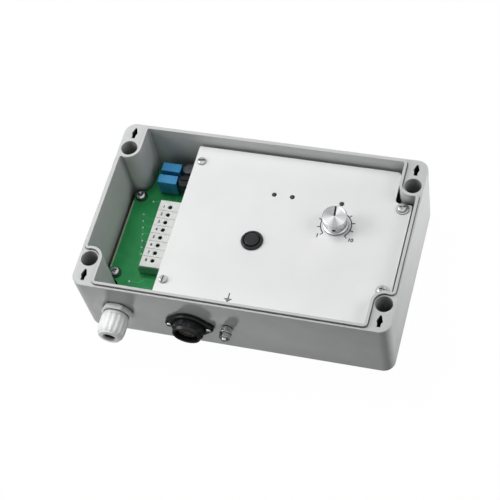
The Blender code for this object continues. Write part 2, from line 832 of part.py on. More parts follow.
def build_board_and_supports(green, steel, dark_steel):
    """Main board on its posts, with its screws, washers and the panel spacers."""
    pull = WALL + draft_inset(BOARD_TOP) + BOARD_WALL_GAP
    boss = BOSS_RADIUS + BOSS_FLARE + BOARD_BOSS_GAP
    outline = boss_outline(HALF_LENGTH - pull, HALF_WIDTH - pull, boss, INSIDE_FILLET)
    board = place("main_board", prism("main_board", outline, BOARD_BOTTOM, BOARD_TOP, False), green)
    spigot_hole = SPACER_SPIGOT_DIAMETER / 2 + TOUCH_GAP
    left_x = PANEL_LEFT + LEFT_SCREW_FROM_EDGE
    left_y = PANEL_HALF_WIDTH - LEFT_SCREW_FROM_SIDE
    low = BOARD_BOTTOM - PAST
    high = BOARD_TOP + PAST
    holes = []
    for side_y in (-1, 1):
        for side_x in (-1, 1):
            holes.append((side_x * POST_X, side_y * POST_Y, SCREW_HOLE_RADIUS, low, high))
        holes.append((left_x, side_y * left_y, spigot_hole, low, high))
    shape(board, rod_tool("board_hole_tool", holes, steps=SMALL_STEPS))

    board_washer = washer_mesh("board_washer", BOARD_WASHER_DIAMETER, SCREW_HOLE_RADIUS, WASHER_THICKNESS)
    head_seat = BOARD_SEAT + WASHER_THICKNESS + TOUCH_GAP
    board_screw = screw_mesh(
        "board_screw", BOARD_HEAD_DIAMETER, BOARD_HEAD_HEIGHT, SCREW_SHANK, SCREW_LENGTH, "cross"
    )
    left_spacer = spacer_mesh("left_spacer", SPACER_SPIGOT_DIAMETER, BOARD_THICKNESS + TOUCH_GAP)
    right_spacer = spacer_mesh("right_spacer", SCREW_SHANK, SCREW_LENGTH)
    for word, side_y in (("front", -1), ("back", 1)):
        post = (-POST_X, side_y * POST_Y)
        place(f"board_washer_{word}", board_washer, dark_steel, (*post, BOARD_SEAT))
        place(f"board_screw_{word}", board_screw, steel, (*post, head_seat), turn=0.6)
        place(f"panel_spacer_left_{word}", left_spacer, steel, (left_x, side_y * left_y, BOARD_SEAT))
        place(f"panel_spacer_right_{word}", right_spacer, steel, (POST_X, side_y * POST_Y, BOARD_SEAT))
    return left_x, left_y


def build_panel(white, steel, left_x, left_y):
    """The aluminium cover panel with its notches, holes, screws and washers."""
    notch_x = PANEL_RIGHT - NOTCH_LENGTH
    notch_y = PANEL_HALF_WIDTH - NOTCH_WIDTH
    soft = PANEL_CORNER_RADIUS
    corners = [
        (PANEL_LEFT, -PANEL_HALF_WIDTH, soft),
        (notch_x, -PANEL_HALF_WIDTH, NOTCH_RADIUS),
        (notch_x, -notch_y, NOTCH_RADIUS),
        (PANEL_RIGHT, -notch_y, soft),
        (PANEL_RIGHT, notch_y, soft),
        (notch_x, notch_y, NOTCH_RADIUS),
        (notch_x, PANEL_HALF_WIDTH, NOTCH_RADIUS),
        (PANEL_LEFT, PANEL_HALF_WIDTH, soft),
    ]
    mesh = prism("cover_panel", filleted_outline(corners), PANEL_BOTTOM, PANEL_TOP, False)
    panel = place("cover_panel", mesh, white)
    low = PANEL_BOTTOM - PAST
    high = PANEL_TOP + PAST
    round_holes = [
        (POT_X, POT_Y, POT_BUSHING_DIAMETER / 2 + TOUCH_GAP, low, high),
        (BUTTON_X, BUTTON_Y, BUTTON_BARREL_DIAMETER / 2 + TOUCH_GAP, low, high),
    ]
    shape(panel, rod_tool("panel_bushing_tool", round_holes))
    holes = [(x, y, LED_HOLE_DIAMETER / 2, low, high) for x, y in LED_PLACES.values()]
    for side_y in (-1, 1):
        holes.append((left_x, side_y * left_y, SCREW_HOLE_RADIUS, low, high))
        holes.append((POST_X, side_y * POST_Y, SCREW_HOLE_RADIUS, low, high))
    shape(panel, rod_tool("panel_hole_tool", holes, steps=SMALL_STEPS))

    left_screw = screw_mesh(
        "left_screw", LEFT_HEAD_DIAMETER, LEFT_HEAD_HEIGHT, SCREW_SHANK, SCREW_LENGTH, "slot"
    )
    right_screw = screw_mesh(
        "right_screw", RIGHT_HEAD_DIAMETER, RIGHT_HEAD_HEIGHT, SCREW_SHANK, SCREW_LENGTH, "cross"
    )
    washer = washer_mesh("panel_washer", PANEL_WASHER_DIAMETER, SCREW_HOLE_RADIUS, WASHER_THICKNESS)
    seat = PANEL_TOP + TOUCH_GAP
    head_seat = seat + WASHER_THICKNESS + TOUCH_GAP
    for word, side_y, turn in (("front", -1, 1.45), ("back", 1, 0.15)):
        place(f"panel_screw_left_{word}", left_screw, steel, (left_x, side_y * left_y, seat), turn=turn)
        post = (POST_X, side_y * POST_Y)
        place(f"panel_washer_right_{word}", washer, steel, (*post, seat))
        place(f"panel_screw_right_{word}", right_screw, steel, (*post, head_seat), turn=turn)


def build_terminals(green, white, steel):
    """The screw terminal block, its marking plate and its clamp screws."""
    half = TERMINAL_LENGTH / 2
    step_top = BOARD_SEAT + TERMINAL_STEP_HEIGHT
    top = BOARD_SEAT + TERMINAL_HEIGHT
    back_x = TERMINAL_X + TERMINAL_DEPTH
    side = [
        (TERMINAL_X, BOARD_SEAT),
        (back_x, BOARD_SEAT),
        (back_x, top),
        (TERMINAL_X + TERMINAL_STEP_DEPTH, top),
        (TERMINAL_X, step_top),
    ]
    rings = []
    for y in (TERMINAL_Y - half, TERMINAL_Y + half):
        rings.append([(x, y, z) for x, z in side])
    block = place("terminal_block", lofted("terminal_block", rings, False), green)
    screw_x = TERMINAL_X + TERMINAL_SCREW_LINE
    first_y = TERMINAL_Y - (TERMINAL_COUNT - 1) * TERMINAL_PITCH / 2
    places = [first_y + index * TERMINAL_PITCH for index in range(TERMINAL_COUNT)]
    well_floor = top - TERMINAL_WELL_DEPTH
    well = TERMINAL_WELL_DIAMETER / 2
    wells = [(screw_x, y, well, well_floor, top + PAST) for y in places]
    shape(block, rod_tool("well_tool", wells, steps=SMALL_STEPS))
    entries = bmesh.new()
    entry_low = BOARD_SEAT + (TERMINAL_STEP_HEIGHT - TERMINAL_ENTRY_HEIGHT) / 2
    entry_half = TERMINAL_ENTRY_WIDTH / 2
    for y in places:
        low = (TERMINAL_X - PAST, y - entry_half, entry_low)
        high = (TERMINAL_X + TERMINAL_ENTRY_DEPTH, y + entry_half, entry_low + TERMINAL_ENTRY_HEIGHT)
        add_box(entries, low, high)
    shape(block, place("entry_tool", to_mesh("entry_tool", entries, False)))

    plate_low = top + TOUCH_GAP
    plate_left = TERMINAL_X + TERMINAL_STEP_DEPTH + PLATE_SIDE_MARGIN
    plate_high = plate_low + PLATE_THICKNESS
    bm = bmesh.new()
    add_box(
        bm,
        (plate_left, TERMINAL_Y - half + PLATE_SIDE_MARGIN, plate_low),
        (back_x - PLATE_SIDE_MARGIN, TERMINAL_Y + half - PLATE_SIDE_MARGIN, plate_high),
    )
    plate = place("terminal_plate", to_mesh("terminal_plate", bm, False), white)
    plate_hole = PLATE_HOLE_DIAMETER / 2
    plate_holes = [(screw_x, y, plate_hole, plate_low - PAST, plate_high + PAST) for y in places]
    shape(plate, rod_tool("plate_hole_tool", plate_holes, steps=SMALL_STEPS))
    screw = screw_mesh(
        "terminal_screw",
        TERMINAL_SCREW_DIAMETER,
        TERMINAL_SCREW_HEIGHT,
        TERMINAL_SCREW_DIAMETER * 0.6,
        TERMINAL_WELL_DEPTH - TERMINAL_SCREW_HEIGHT - 2 * TOUCH_GAP,
        "small slot",
    )
    screw_seat = top - TERMINAL_SCREW_HEIGHT - TOUCH_GAP
    for index, y in enumerate(places, 1):
        turn = 0.5 * index
        place(f"terminal_screw_{index}", screw, steel, (screw_x, y, screw_seat), turn=turn)


def rounded_block(name, material, length, width, height, centre, bottom):
    """A moulded block with softly rounded edges."""
    bm = bmesh.new()
    add_box(bm, (-length / 2, -width / 2, 0), (length / 2, width / 2, height))
    block = place(name, to_mesh(name, bm, False), material, (*centre, bottom))
    bevel = block.modifiers.new("Moulded edge", "BEVEL")
    bevel.width = MOULDED_EDGE
    bevel.segments = 2
    return block


def build_components(blue, black, sleeve, potting, clear_grey, header_black):
    """Capacitors, fuse holder, transformer, relay and the header to the control board."""
    x = LEFT_END + CAPACITOR_FROM_END
    size = (CAPACITOR_LENGTH, CAPACITOR_WIDTH, CAPACITOR_HEIGHT)
    for word, y in (("back", CAPACITOR_BACK_Y), ("front", CAPACITOR_BACK_Y - CAPACITOR_PITCH)):
        rounded_block(f"filter_capacitor_{word}", blue, *size, (x, y), BOARD_SEAT)

    fuse = FUSE_DIAMETER / 2
    bore = FUSE_BORE_DIAMETER / 2
    floor = FUSE_BODY_HEIGHT - FUSE_BORE_DEPTH
    body = [
        (0, 0),
        (fuse, 0),
        (fuse, FUSE_BODY_HEIGHT),
        (bore, FUSE_BODY_HEIGHT),
        (bore, floor),
        (0, floor),
    ]
    spot = (LEFT_END + FUSE_FROM_END, FUSE_Y)
    place("fuse_holder", turned("fuse_holder", body), black, (*spot, BOARD_SEAT))
    plug = bore - TOUCH_GAP
    rim = MOULDED_EDGE
    cap = [
        (0, -FUSE_PLUG_LENGTH),
        (plug, -FUSE_PLUG_LENGTH),
        (plug, 0),
        (fuse, 0),
        (fuse, FUSE_CAP_HEIGHT - rim),
        (fuse - rim, FUSE_CAP_HEIGHT),
        (0, FUSE_CAP_HEIGHT),
    ]
    cap_seat = BOARD_SEAT + FUSE_BODY_HEIGHT + TOUCH_GAP
    cap_piece = place("fuse_cap", turned("fuse_cap", cap), black, (*spot, cap_seat))
    bm = bmesh.new()
    reach = fuse * 0.75
    half_slot = SLOT_WIDTH / 2
    add_box(
        bm,
        (-reach, -half_slot, FUSE_CAP_HEIGHT - 2 * SLOT_WIDTH),
        (reach, half_slot, FUSE_CAP_HEIGHT + PAST),
    )
    shape(cap_piece, place("fuse_slot_tool", to_mesh("fuse_slot_tool", bm), location=(*spot, cap_seat)))

    can = CAN_DIAMETER / 2
    crimp = can - MOULDED_EDGE
    profile = [
        (0, 0),
        (crimp, 0),
        (can, rim),
        (can, 4 * rim),
        (crimp, 5 * rim),
        (can, 6 * rim),
        (can, CAN_HEIGHT - rim),
        (crimp, CAN_HEIGHT),
        (0, CAN_HEIGHT),
    ]
    can_spot = (LEFT_END + CAN_FROM_END, CAN_Y, BOARD_SEAT)
    can_mesh = turned("electrolytic_capacitor", profile, SCREW_STEPS)
    place("electrolytic_capacitor", can_mesh, sleeve, can_spot)

    transformer_x = PANEL_LEFT + TRANSFORMER_INSET
    size = (TRANSFORMER_LENGTH, TRANSFORMER_WIDTH, TRANSFORMER_HEIGHT)
    rounded_block("supply_transformer", potting, *size, (transformer_x, TRANSFORMER_Y), BOARD_SEAT)
    size = (RELAY_LENGTH, RELAY_WIDTH, RELAY_HEIGHT)
    relay_x = PANEL_LEFT + RELAY_INSET
    rounded_block("output_relay", clear_grey, *size, (relay_x, RELAY_Y), BOARD_SEAT)
    build_header(header_black)


def build_header(material):
    """The stacking header that links the main board and the control board."""
    height = CONTROL_BOTTOM - BOARD_TOP - 2 * TOUCH_GAP
    half_x = HEADER_LENGTH / 2
    half_y = HEADER_WIDTH / 2
    spot = (POT_X - HEADER_FROM_POT, POT_Y, BOARD_SEAT)
    bm = bmesh.new()
    add_box(bm, (-half_x, -half_y, 0), (half_x, half_y, HEADER_SOCKET_HEIGHT))
    header = place("board_link_header", to_mesh("board_link_header", bm, False), material, spot)
    strip = bmesh.new()
    add_box(strip, (-half_x, -half_y, height - HEADER_STRIP_HEIGHT), (half_x, half_y, height))
    pins = bmesh.new()
    pin_half = HEADER_PIN_WIDTH / 2
    pitch = HEADER_LENGTH / HEADER_PINS
    for index in range(HEADER_PINS):
        centre = -half_x + (index + 0.5) * pitch
        for row in (-half_y / 2, half_y / 2):
            low = (centre - pin_half, row - pin_half, HEADER_SOCKET_HEIGHT / 2)
            high = (centre + pin_half, row + pin_half, height - HEADER_STRIP_HEIGHT / 2)
            add_box(pins, low, high)
    pin_tool = place("header_pin_tool", to_mesh("header_pin_tool", pins, False), location=spot)
    strip_tool = place("header_strip_tool", to_mesh("header_strip_tool", strip, False), location=spot)
    shape(header, pin_tool, "UNION")
    shape(header, strip_tool, "UNION")


def build_control_board(green):
    """The small board under the panel that carries the potentiometer and the LEDs."""
    bm = bmesh.new()
    add_box(
        bm,
        (CONTROL_LEFT, CONTROL_FRONT, CONTROL_BOTTOM),
        (CONTROL_RIGHT, CONTROL_BACK, CONTROL_TOP),
    )
    return place("control_board", to_mesh("control_board", bm, False), green)


def build_potentiometer(steel, zinc, shaft_steel, axis):
    """Potentiometer under the panel, its bushing, washer, nut and turning shaft."""
    body = POT_BODY_DIAMETER / 2
    bushing = POT_BUSHING_DIAMETER / 2
    shaft = POT_SHAFT_DIAMETER / 2
    bore = shaft + TOUCH_GAP
    low = CONTROL_TOP + TOUCH_GAP
    high = PANEL_BOTTOM - TOUCH_GAP
    bushing_top = PANEL_TOP + POT_BUSHING_HEIGHT
    socket_floor = high - POT_SOCKET_DEPTH
    profile = [
        (0, low),
        (body, low),
        (body, high),
        (bushing, high),
        (bushing, bushing_top),
        (bore, bushing_top),
        (bore, socket_floor),
        (0, socket_floor),
    ]
    place("potentiometer_body", turned("potentiometer_body", profile), zinc, (POT_X, POT_Y, 0))
    hole = bushing + TOUCH_GAP
    washer_seat = PANEL_TOP + TOUCH_GAP
    washer = washer_mesh("potentiometer_washer", POT_WASHER_DIAMETER, hole, WASHER_THICKNESS)
    place("potentiometer_washer", washer, steel, (POT_X, POT_Y, washer_seat))
    nut_seat = washer_seat + WASHER_THICKNESS + TOUCH_GAP
    nut = nut_mesh("potentiometer_nut", POT_NUT_ACROSS_FLATS, hole, POT_NUT_HEIGHT)
    place("potentiometer_nut", nut, steel, (POT_X, POT_Y, nut_seat))
    shaft_top = PANEL_TOP + KNOB_HEIGHT - KNOB_TOP_THICKNESS - TOUCH_GAP
    rod = rod_profile(shaft, socket_floor + TOUCH_GAP - PANEL_TOP, shaft_top - PANEL_TOP)
    place("potentiometer_shaft", turned("potentiometer_shaft", rod), shaft_steel, parent=axis)


def build_knob(aluminium, dark_steel, axis):
    """Turned aluminium knob, hollow below for the nut, with a pointer and a grub screw."""
    shaft_bore = POT_SHAFT_DIAMETER / 2 + TOUCH_GAP
    bushing_bore = POT_BUSHING_DIAMETER / 2 + RUNNING_GAP
    recess = KNOB_RECESS_DIAMETER / 2
    nut_top = WASHER_THICKNESS + POT_NUT_HEIGHT + 2 * TOUCH_GAP
    recess_top = nut_top + RUNNING_GAP
    bushing_clear = POT_BUSHING_HEIGHT + RUNNING_GAP
    bore_top = KNOB_HEIGHT - KNOB_TOP_THICKNESS
    base = KNOB_BASE_DIAMETER / 2
    crown = KNOB_TOP_DIAMETER / 2
    bevel = KNOB_CHAMFER
    profile = [
        (0, bore_top),
        (shaft_bore, bore_top),
        (shaft_bore, bushing_clear),
        (bushing_bore, bushing_clear),
        (bushing_bore, recess_top),
        (recess, recess_top),
        (recess, RUNNING_GAP),
        (crown - bevel / 2, RUNNING_GAP),
        (crown, RUNNING_GAP + bevel / 2),
        (crown, KNOB_SKIRT_HEIGHT - bevel / 2),
        (base, KNOB_SKIRT_HEIGHT),
        (base, KNOB_SKIRT_HEIGHT + bevel),
        (crown, KNOB_HEIGHT - bevel),
        (crown - bevel, KNOB_HEIGHT),
        (crown - 2 * bevel, KNOB_HEIGHT),
        (0, KNOB_HEIGHT - KNOB_DISH),
    ]
    knob_mesh = turned("sensitivity_knob", profile, KNOB_STEPS)
    knob = place("sensitivity_knob", knob_mesh, aluminium, parent=axis)
    groove = bmesh.new()
    half_line = KNOB_POINTER_WIDTH / 2
    low = (-half_line, 0, KNOB_HEIGHT - KNOB_DISH - KNOB_POINTER_DEPTH)
    add_box(groove, low, (half_line, crown + PAST, KNOB_HEIGHT + PAST))
    shape(knob, place("pointer_tool", to_mesh("pointer_tool", groove, False), parent=axis))
    level = empty_at("grub_axis", (0, 0, GRUB_HEIGHT), (math.pi / 2, 0, 0))
    level.parent = axis
    hole = (0, 0, GRUB_DIAMETER / 2 + TOUCH_GAP, shaft_bore - PAST / 2, crown + PAST)
    shape(knob, rod_tool("grub_hole_tool", [hole], level, SMALL_STEPS))
    grub = GRUB_DIAMETER / 2
    socket = grub * 0.55
    start = POT_SHAFT_DIAMETER / 2 + TOUCH_GAP
    end = base - GRUB_SINK
    sections = [
        (grub, start),
        (grub, end),
        (socket, end),
        (socket, end - grub),
    ]
    mesh = polar_loft("knob_grub_screw", sections, SMALL_STEPS)
    place("knob_grub_screw", mesh, dark_steel, parent=level)


def build_button(black, satin_black, steel, axis):
    """Panel push-button: bezel and barrel, ring nut and the cap that travels in it."""
    bezel = BUTTON_BEZEL_DIAMETER / 2
    barrel = BUTTON_BARREL_DIAMETER / 2
    cap = BUTTON_CAP_DIAMETER / 2
    bore = cap + TOUCH_GAP
    seat = PANEL_TOP + TOUCH_GAP
    bezel_top = PANEL_TOP + BUTTON_BEZEL_HEIGHT
    cap_bottom = BUTTON_BEZEL_HEIGHT + BUTTON_CAP_PROUD - BUTTON_CAP_LENGTH
    bore_floor = PANEL_TOP + cap_bottom - BUTTON_TRAVEL - RUNNING_GAP
    barrel_bottom = PANEL_BOTTOM - BUTTON_BARREL_LENGTH
    edge = MOULDED_EDGE
    profile = [
        (0, barrel_bottom),
        (barrel, barrel_bottom),
        (barrel, seat),
        (bezel, seat),
        (bezel, bezel_top - edge),
        (bezel - edge, bezel_top),
        (bore + edge, bezel_top),
        (bore, bezel_top - edge),
        (bore, bore_floor),
        (0, bore_floor),
    ]
    spot = (BUTTON_X, BUTTON_Y, 0)
    housing = place("test_button_housing", turned("test_button_housing", profile), black, spot)
    tags = bmesh.new()
    for side in (-1, 1):
        centre = side * BUTTON_TAG_SPACING / 2
        low = (
            centre - BUTTON_TAG_THICKNESS / 2,
            -BUTTON_TAG_WIDTH / 2,
            barrel_bottom - BUTTON_TAG_LENGTH,
        )
        high = (centre + BUTTON_TAG_THICKNESS / 2, BUTTON_TAG_WIDTH / 2, barrel_bottom + PAST)
        add_box(tags, low, high)
    shape(housing, place("tag_tool", to_mesh("tag_tool", tags, False), location=spot), "UNION")

    nut_seat = PANEL_BOTTOM - TOUCH_GAP - BUTTON_NUT_HEIGHT
    nut = nut_mesh("test_button_nut", BUTTON_NUT_ACROSS_FLATS, barrel + TOUCH_GAP, BUTTON_NUT_HEIGHT)
    place("test_button_nut", nut, steel, (BUTTON_X, BUTTON_Y, nut_seat))

    crown = BUTTON_BEZEL_HEIGHT + BUTTON_CAP_PROUD
    dome = BUTTON_CAP_PROUD / 2
    cap_profile = [
        (0, cap_bottom),
        (cap, cap_bottom),
        (cap, crown - 2 * dome),
    ]
    for share in (0.93, 0.7, 0.35, 0):
        cap_profile.append((cap * share, crown - dome * share**3))
    place("test_button_cap", turned("test_button_cap", cap_profile), satin_black, parent=axis)


def build_leds(tint):
    """Three LEDs on their spacers, looking out through the panel."""
    low = CONTROL_TOP + TOUCH_GAP
    spacer = LED_SPACER_DIAMETER / 2
    lens = LED_DIAMETER / 2
    shoulder = PANEL_TOP + LED_PROUD - lens
    profile = [(0, low), (spacer, low), (spacer, low + LED_SPACER_HEIGHT), (lens, low + LED_SPACER_HEIGHT)]
    for angle in (0, 30, 60):
        reach = lens * math.cos(math.radians(angle))
        profile.append((reach, shoulder + lens * math.sin(math.radians(angle))))
    profile.append((0, PANEL_TOP + LED_PROUD))
    mesh = turned("led", profile, SMALL_STEPS)
    for name, (x, y) in LED_PLACES.items():
        place(name, mesh, tint, (x, y, 0))


def build_gland(light_grey, rubber, seat):
    """Plastic cable gland: threaded body, seal, ribbed cap nut and locknut."""
    thread = GLAND_THREAD_DIAMETER / 2
    bore = GLAND_BORE_DIAMETER / 2
    sleeve = GLAND_SLEEVE_DIAMETER / 2
    outer = hexagon(GLAND_HEX_ACROSS_FLATS, math.radians(GLAND_HEX_TURN))
    flat = GLAND_HEX_ACROSS_FLATS / 2
    hex_top = TOUCH_GAP + GLAND_HEX_HEIGHT
    sleeve_top = hex_top + GLAND_SLEEVE_LENGTH
    sections = [
        (bore, -GLAND_THREAD_LENGTH),
        (thread, -GLAND_THREAD_LENGTH),
        (thread, TOUCH_GAP),
        (flat - NUT_CHAMFER / 2, TOUCH_GAP),
        (outer, TOUCH_GAP + NUT_CHAMFER),
        (outer, hex_top - NUT_CHAMFER),
        (flat - NUT_CHAMFER / 2, hex_top),
        (sleeve, hex_top),
        (sleeve, sleeve_top),
        (bore, sleeve_top),
    ]
    body_mesh = polar_loft("gland_body", sections, hollow=True)
    place("gland_body", body_mesh, light_grey, parent=seat)

    nut_low = hex_top + TOUCH_GAP
    nut_high = nut_low + GLAND_NUT_LENGTH
    full = GLAND_NUT_DIAMETER / 2
    nose = GLAND_NOSE_DIAMETER / 2
    grip = ribbed(full, GLAND_RIBS, GLAND_RIB_DEPTH)
    collar = GLAND_COLLAR_DIAMETER / 2
    collar_top = nut_low + GLAND_COLLAR_LENGTH
    straight_top = nut_low + GLAND_NUT_STRAIGHT
    inside = sleeve + TOUCH_GAP
    seal_room = GLAND_SEAL_OUTER / 2 + TOUCH_GAP
    room_top = sleeve_top + TOUCH_GAP
    lip_floor = nut_high - GLAND_LIP
    mouth = GLAND_MOUTH_DIAMETER / 2
    fall = nut_high - straight_top
    shoulders = []
    for angle in (40, 90):
        turn = math.radians(angle)
        reach = nose + (full - GLAND_RIB_DEPTH - nose) * math.cos(turn)
        shoulders.append((reach, straight_top + fall * math.sin(turn) * (1 if angle == 90 else 0.97)))
    sections = [
        (inside, nut_low),
        (collar, nut_low),
        (collar, collar_top),
        (grip, collar_top + NUT_CHAMFER),
        (grip, straight_top - NUT_CHAMFER),
        (full - GLAND_RIB_DEPTH, straight_top),
        *shoulders,
        (mouth, nut_high),
        (mouth, lip_floor),
        (seal_room, lip_floor),
        (seal_room, room_top),
        (inside, room_top),
    ]
    cap_mesh = polar_loft("gland_cap_nut", sections, GRIP_STEPS, True)
    place("gland_cap_nut", cap_mesh, light_grey, parent=seat)

    seal_low = sleeve_top + TOUCH_GAP
    seal_high = lip_floor - TOUCH_GAP
    ring = [
        (GLAND_SEAL_INNER / 2, seal_low),
        (GLAND_SEAL_OUTER / 2, seal_low),
        (GLAND_SEAL_OUTER / 2, seal_high),
        (GLAND_SEAL_INNER / 2, seal_high),
    ]
    place("gland_seal", turned("gland_seal", ring), rubber, parent=seat)

    nut = nut_mesh("gland_locknut", GLAND_HEX_ACROSS_FLATS, thread + TOUCH_GAP, GLAND_LOCKNUT_HEIGHT)
    nut_seat = -WALL - TOUCH_GAP - GLAND_LOCKNUT_HEIGHT
    place("gland_locknut", nut, light_grey, (0, 0, nut_seat), parent=seat)


def ear_flange_outline():
    """Outline of a round flange drawn out into two screw ears."""
    ear = CONNECTOR_EAR_SPACING / 2
    points = arc(0, 0, CONNECTOR_FLANGE_RADIUS, 0, 360, ROUND_STEPS)[:-1]
    for side in (-1, 1):
        points += arc(side * ear, 0, CONNECTOR_EAR_RADIUS, 0, 360, SMALL_STEPS)[:-1]
    return [points[index] for index in convex_hull_2d(points)]


def build_connector(black, dark_grey, steel, seat):
    """Round panel connector: flanged shell, contact insert and two flange screws."""
    barrel = CONNECTOR_BARREL_DIAMETER / 2
    neck = CONNECTOR_NECK_DIAMETER / 2
    socket = CONNECTOR_SOCKET_DIAMETER / 2
    rear = CONNECTOR_REAR_DIAMETER / 2
    core = CONNECTOR_CORE_DIAMETER / 2
    rear_bore = core + TOUCH_GAP
    flange_top = TOUCH_GAP + CONNECTOR_FLANGE_HEIGHT
    barrel_top = flange_top + CONNECTOR_BARREL_LENGTH
    rear_end = -WALL - CONNECTOR_REAR_LENGTH
    ribs = ribbed(barrel, CONNECTOR_BARREL_RIBS, CONNECTOR_RIB_DEPTH)
    outline = ear_flange_outline()
    flange_mesh = prism("connector_shell", outline, TOUCH_GAP, flange_top, False)
    shell = place("connector_shell", flange_mesh, black, parent=seat)
    middle = TOUCH_GAP + CONNECTOR_FLANGE_HEIGHT / 2
    sections = [
        (rear, rear_end),
        (rear, middle),
        (barrel - CONNECTOR_RIB_DEPTH, middle),
        (barrel - CONNECTOR_RIB_DEPTH, flange_top + NUT_CHAMFER),
        (ribs, flange_top + 2 * NUT_CHAMFER),
        (ribs, barrel_top - NUT_CHAMFER),
        (barrel - CONNECTOR_RIB_DEPTH, barrel_top),
        (neck, barrel_top + NUT_CHAMFER),
        (neck, CONNECTOR_LENGTH - NUT_CHAMFER),
        (neck - NUT_CHAMFER, CONNECTOR_LENGTH),
    ]
    barrel_tool = place("barrel_tool", polar_loft("barrel_tool", sections, BARREL_STEPS), parent=seat)
    shape(shell, barrel_tool, "UNION")
    bm = bmesh.new()
    bore_profile = [
        (0, rear_end - PAST),
        (rear_bore, rear_end - PAST),
        (rear_bore, CONNECTOR_SOCKET_FLOOR),
        (socket, CONNECTOR_SOCKET_FLOOR),
        (socket, CONNECTOR_LENGTH + PAST),
        (0, CONNECTOR_LENGTH + PAST),
    ]
    add_turned(bm, bore_profile)
    shape(shell, place("socket_tool", to_mesh("socket_tool", bm), parent=seat))
    ear = CONNECTOR_EAR_SPACING / 2
    hole = FLANGE_SCREW_SHANK / 2 + TOUCH_GAP
    holes = [(side * ear, 0, hole, -PAST, flange_top + PAST) for side in (-1, 1)]
    shape(shell, rod_tool("ear_hole_tool", holes, seat, SMALL_STEPS))

    collar_low = CONNECTOR_SOCKET_FLOOR + TOUCH_GAP
    collar = socket - TOUCH_GAP
    profile = [
        (0, rear_end + TOUCH_GAP),
        (core, rear_end + TOUCH_GAP),
        (core, collar_low),
        (collar, collar_low),
        (collar, collar_low + CONNECTOR_CORE_COLLAR),
        (core, collar_low + CONNECTOR_CORE_COLLAR),
        (core, CONNECTOR_CORE_HEIGHT),
        (0, CONNECTOR_CORE_HEIGHT),
    ]
    insert = place("connector_insert", turned("connector_insert", profile), dark_grey, parent=seat)
    contacts = []
    for index in range(CONNECTOR_CONTACTS):
        angle = 2 * math.pi * index / CONNECTOR_CONTACTS
        x = CONNECTOR_CONTACT_CIRCLE / 2 * math.cos(angle)
        y = CONNECTOR_CONTACT_CIRCLE / 2 * math.sin(angle)
        floor = CONNECTOR_CORE_HEIGHT - CONNECTOR_CONTACT_DEPTH
        contacts.append((x, y, CONNECTOR_CONTACT_DIAMETER / 2, floor, CONNECTOR_CORE_HEIGHT + PAST))
    shape(insert, rod_tool("contact_tool", contacts, seat, FINE_STEPS))

    length = flange_top + TOUCH_GAP + FLANGE_SCREW_BITE
    screw = screw_mesh(
        "flange_screw", FLANGE_SCREW_HEAD, FLANGE_SCREW_HEAD_HEIGHT, FLANGE_SCREW_SHANK, length, "cross"
    )
    for word, side in (("left", -1), ("right", 1)):
        spot = (side * ear, 0, flange_top + TOUCH_GAP)
        place(f"connector_screw_{word}", screw, steel, spot, parent=seat, turn=0.4)


def build_earth_stud(steel, seat):
    """Earth stud: a bolt through the wall, a lock nut, a washer and a clamp nut."""
    outer = hexagon(STUD_NUT_ACROSS_FLATS)
    flat = STUD_NUT_ACROSS_FLATS / 2 - NUT_CHAMFER / 2
    shank = STUD_DIAMETER / 2
    head_top = -WALL - TOUCH_GAP
    sections = [
        (flat, head_top - STUD_HEAD_HEIGHT),
        (outer, head_top - STUD_HEAD_HEIGHT + NUT_CHAMFER),
        (outer, head_top),
        (shank, head_top),
        (shank, STUD_LENGTH - NUT_CHAMFER),
        (shank - NUT_CHAMFER, STUD_LENGTH),
    ]
    place("earth_stud", polar_loft("earth_stud", sections, SMALL_STEPS), steel, parent=seat)
    hole = shank + TOUCH_GAP
    nut = nut_mesh("earth_nut", STUD_NUT_ACROSS_FLATS, hole, STUD_NUT_HEIGHT)
    washer = washer_mesh("earth_washer", STUD_WASHER_DIAMETER, hole, STUD_WASHER_THICKNESS)
    level = TOUCH_GAP
    place("earth_lock_nut", nut, steel, (0, 0, level), parent=seat)
    level += STUD_NUT_HEIGHT + TOUCH_GAP
    place("earth_washer", washer, steel, (0, 0, level), parent=seat)
    level += STUD_WASHER_THICKNESS + TOUCH_GAP
    place("earth_clamp_nut", nut, steel, (0, 0, level), parent=seat, turn=math.radians(15))


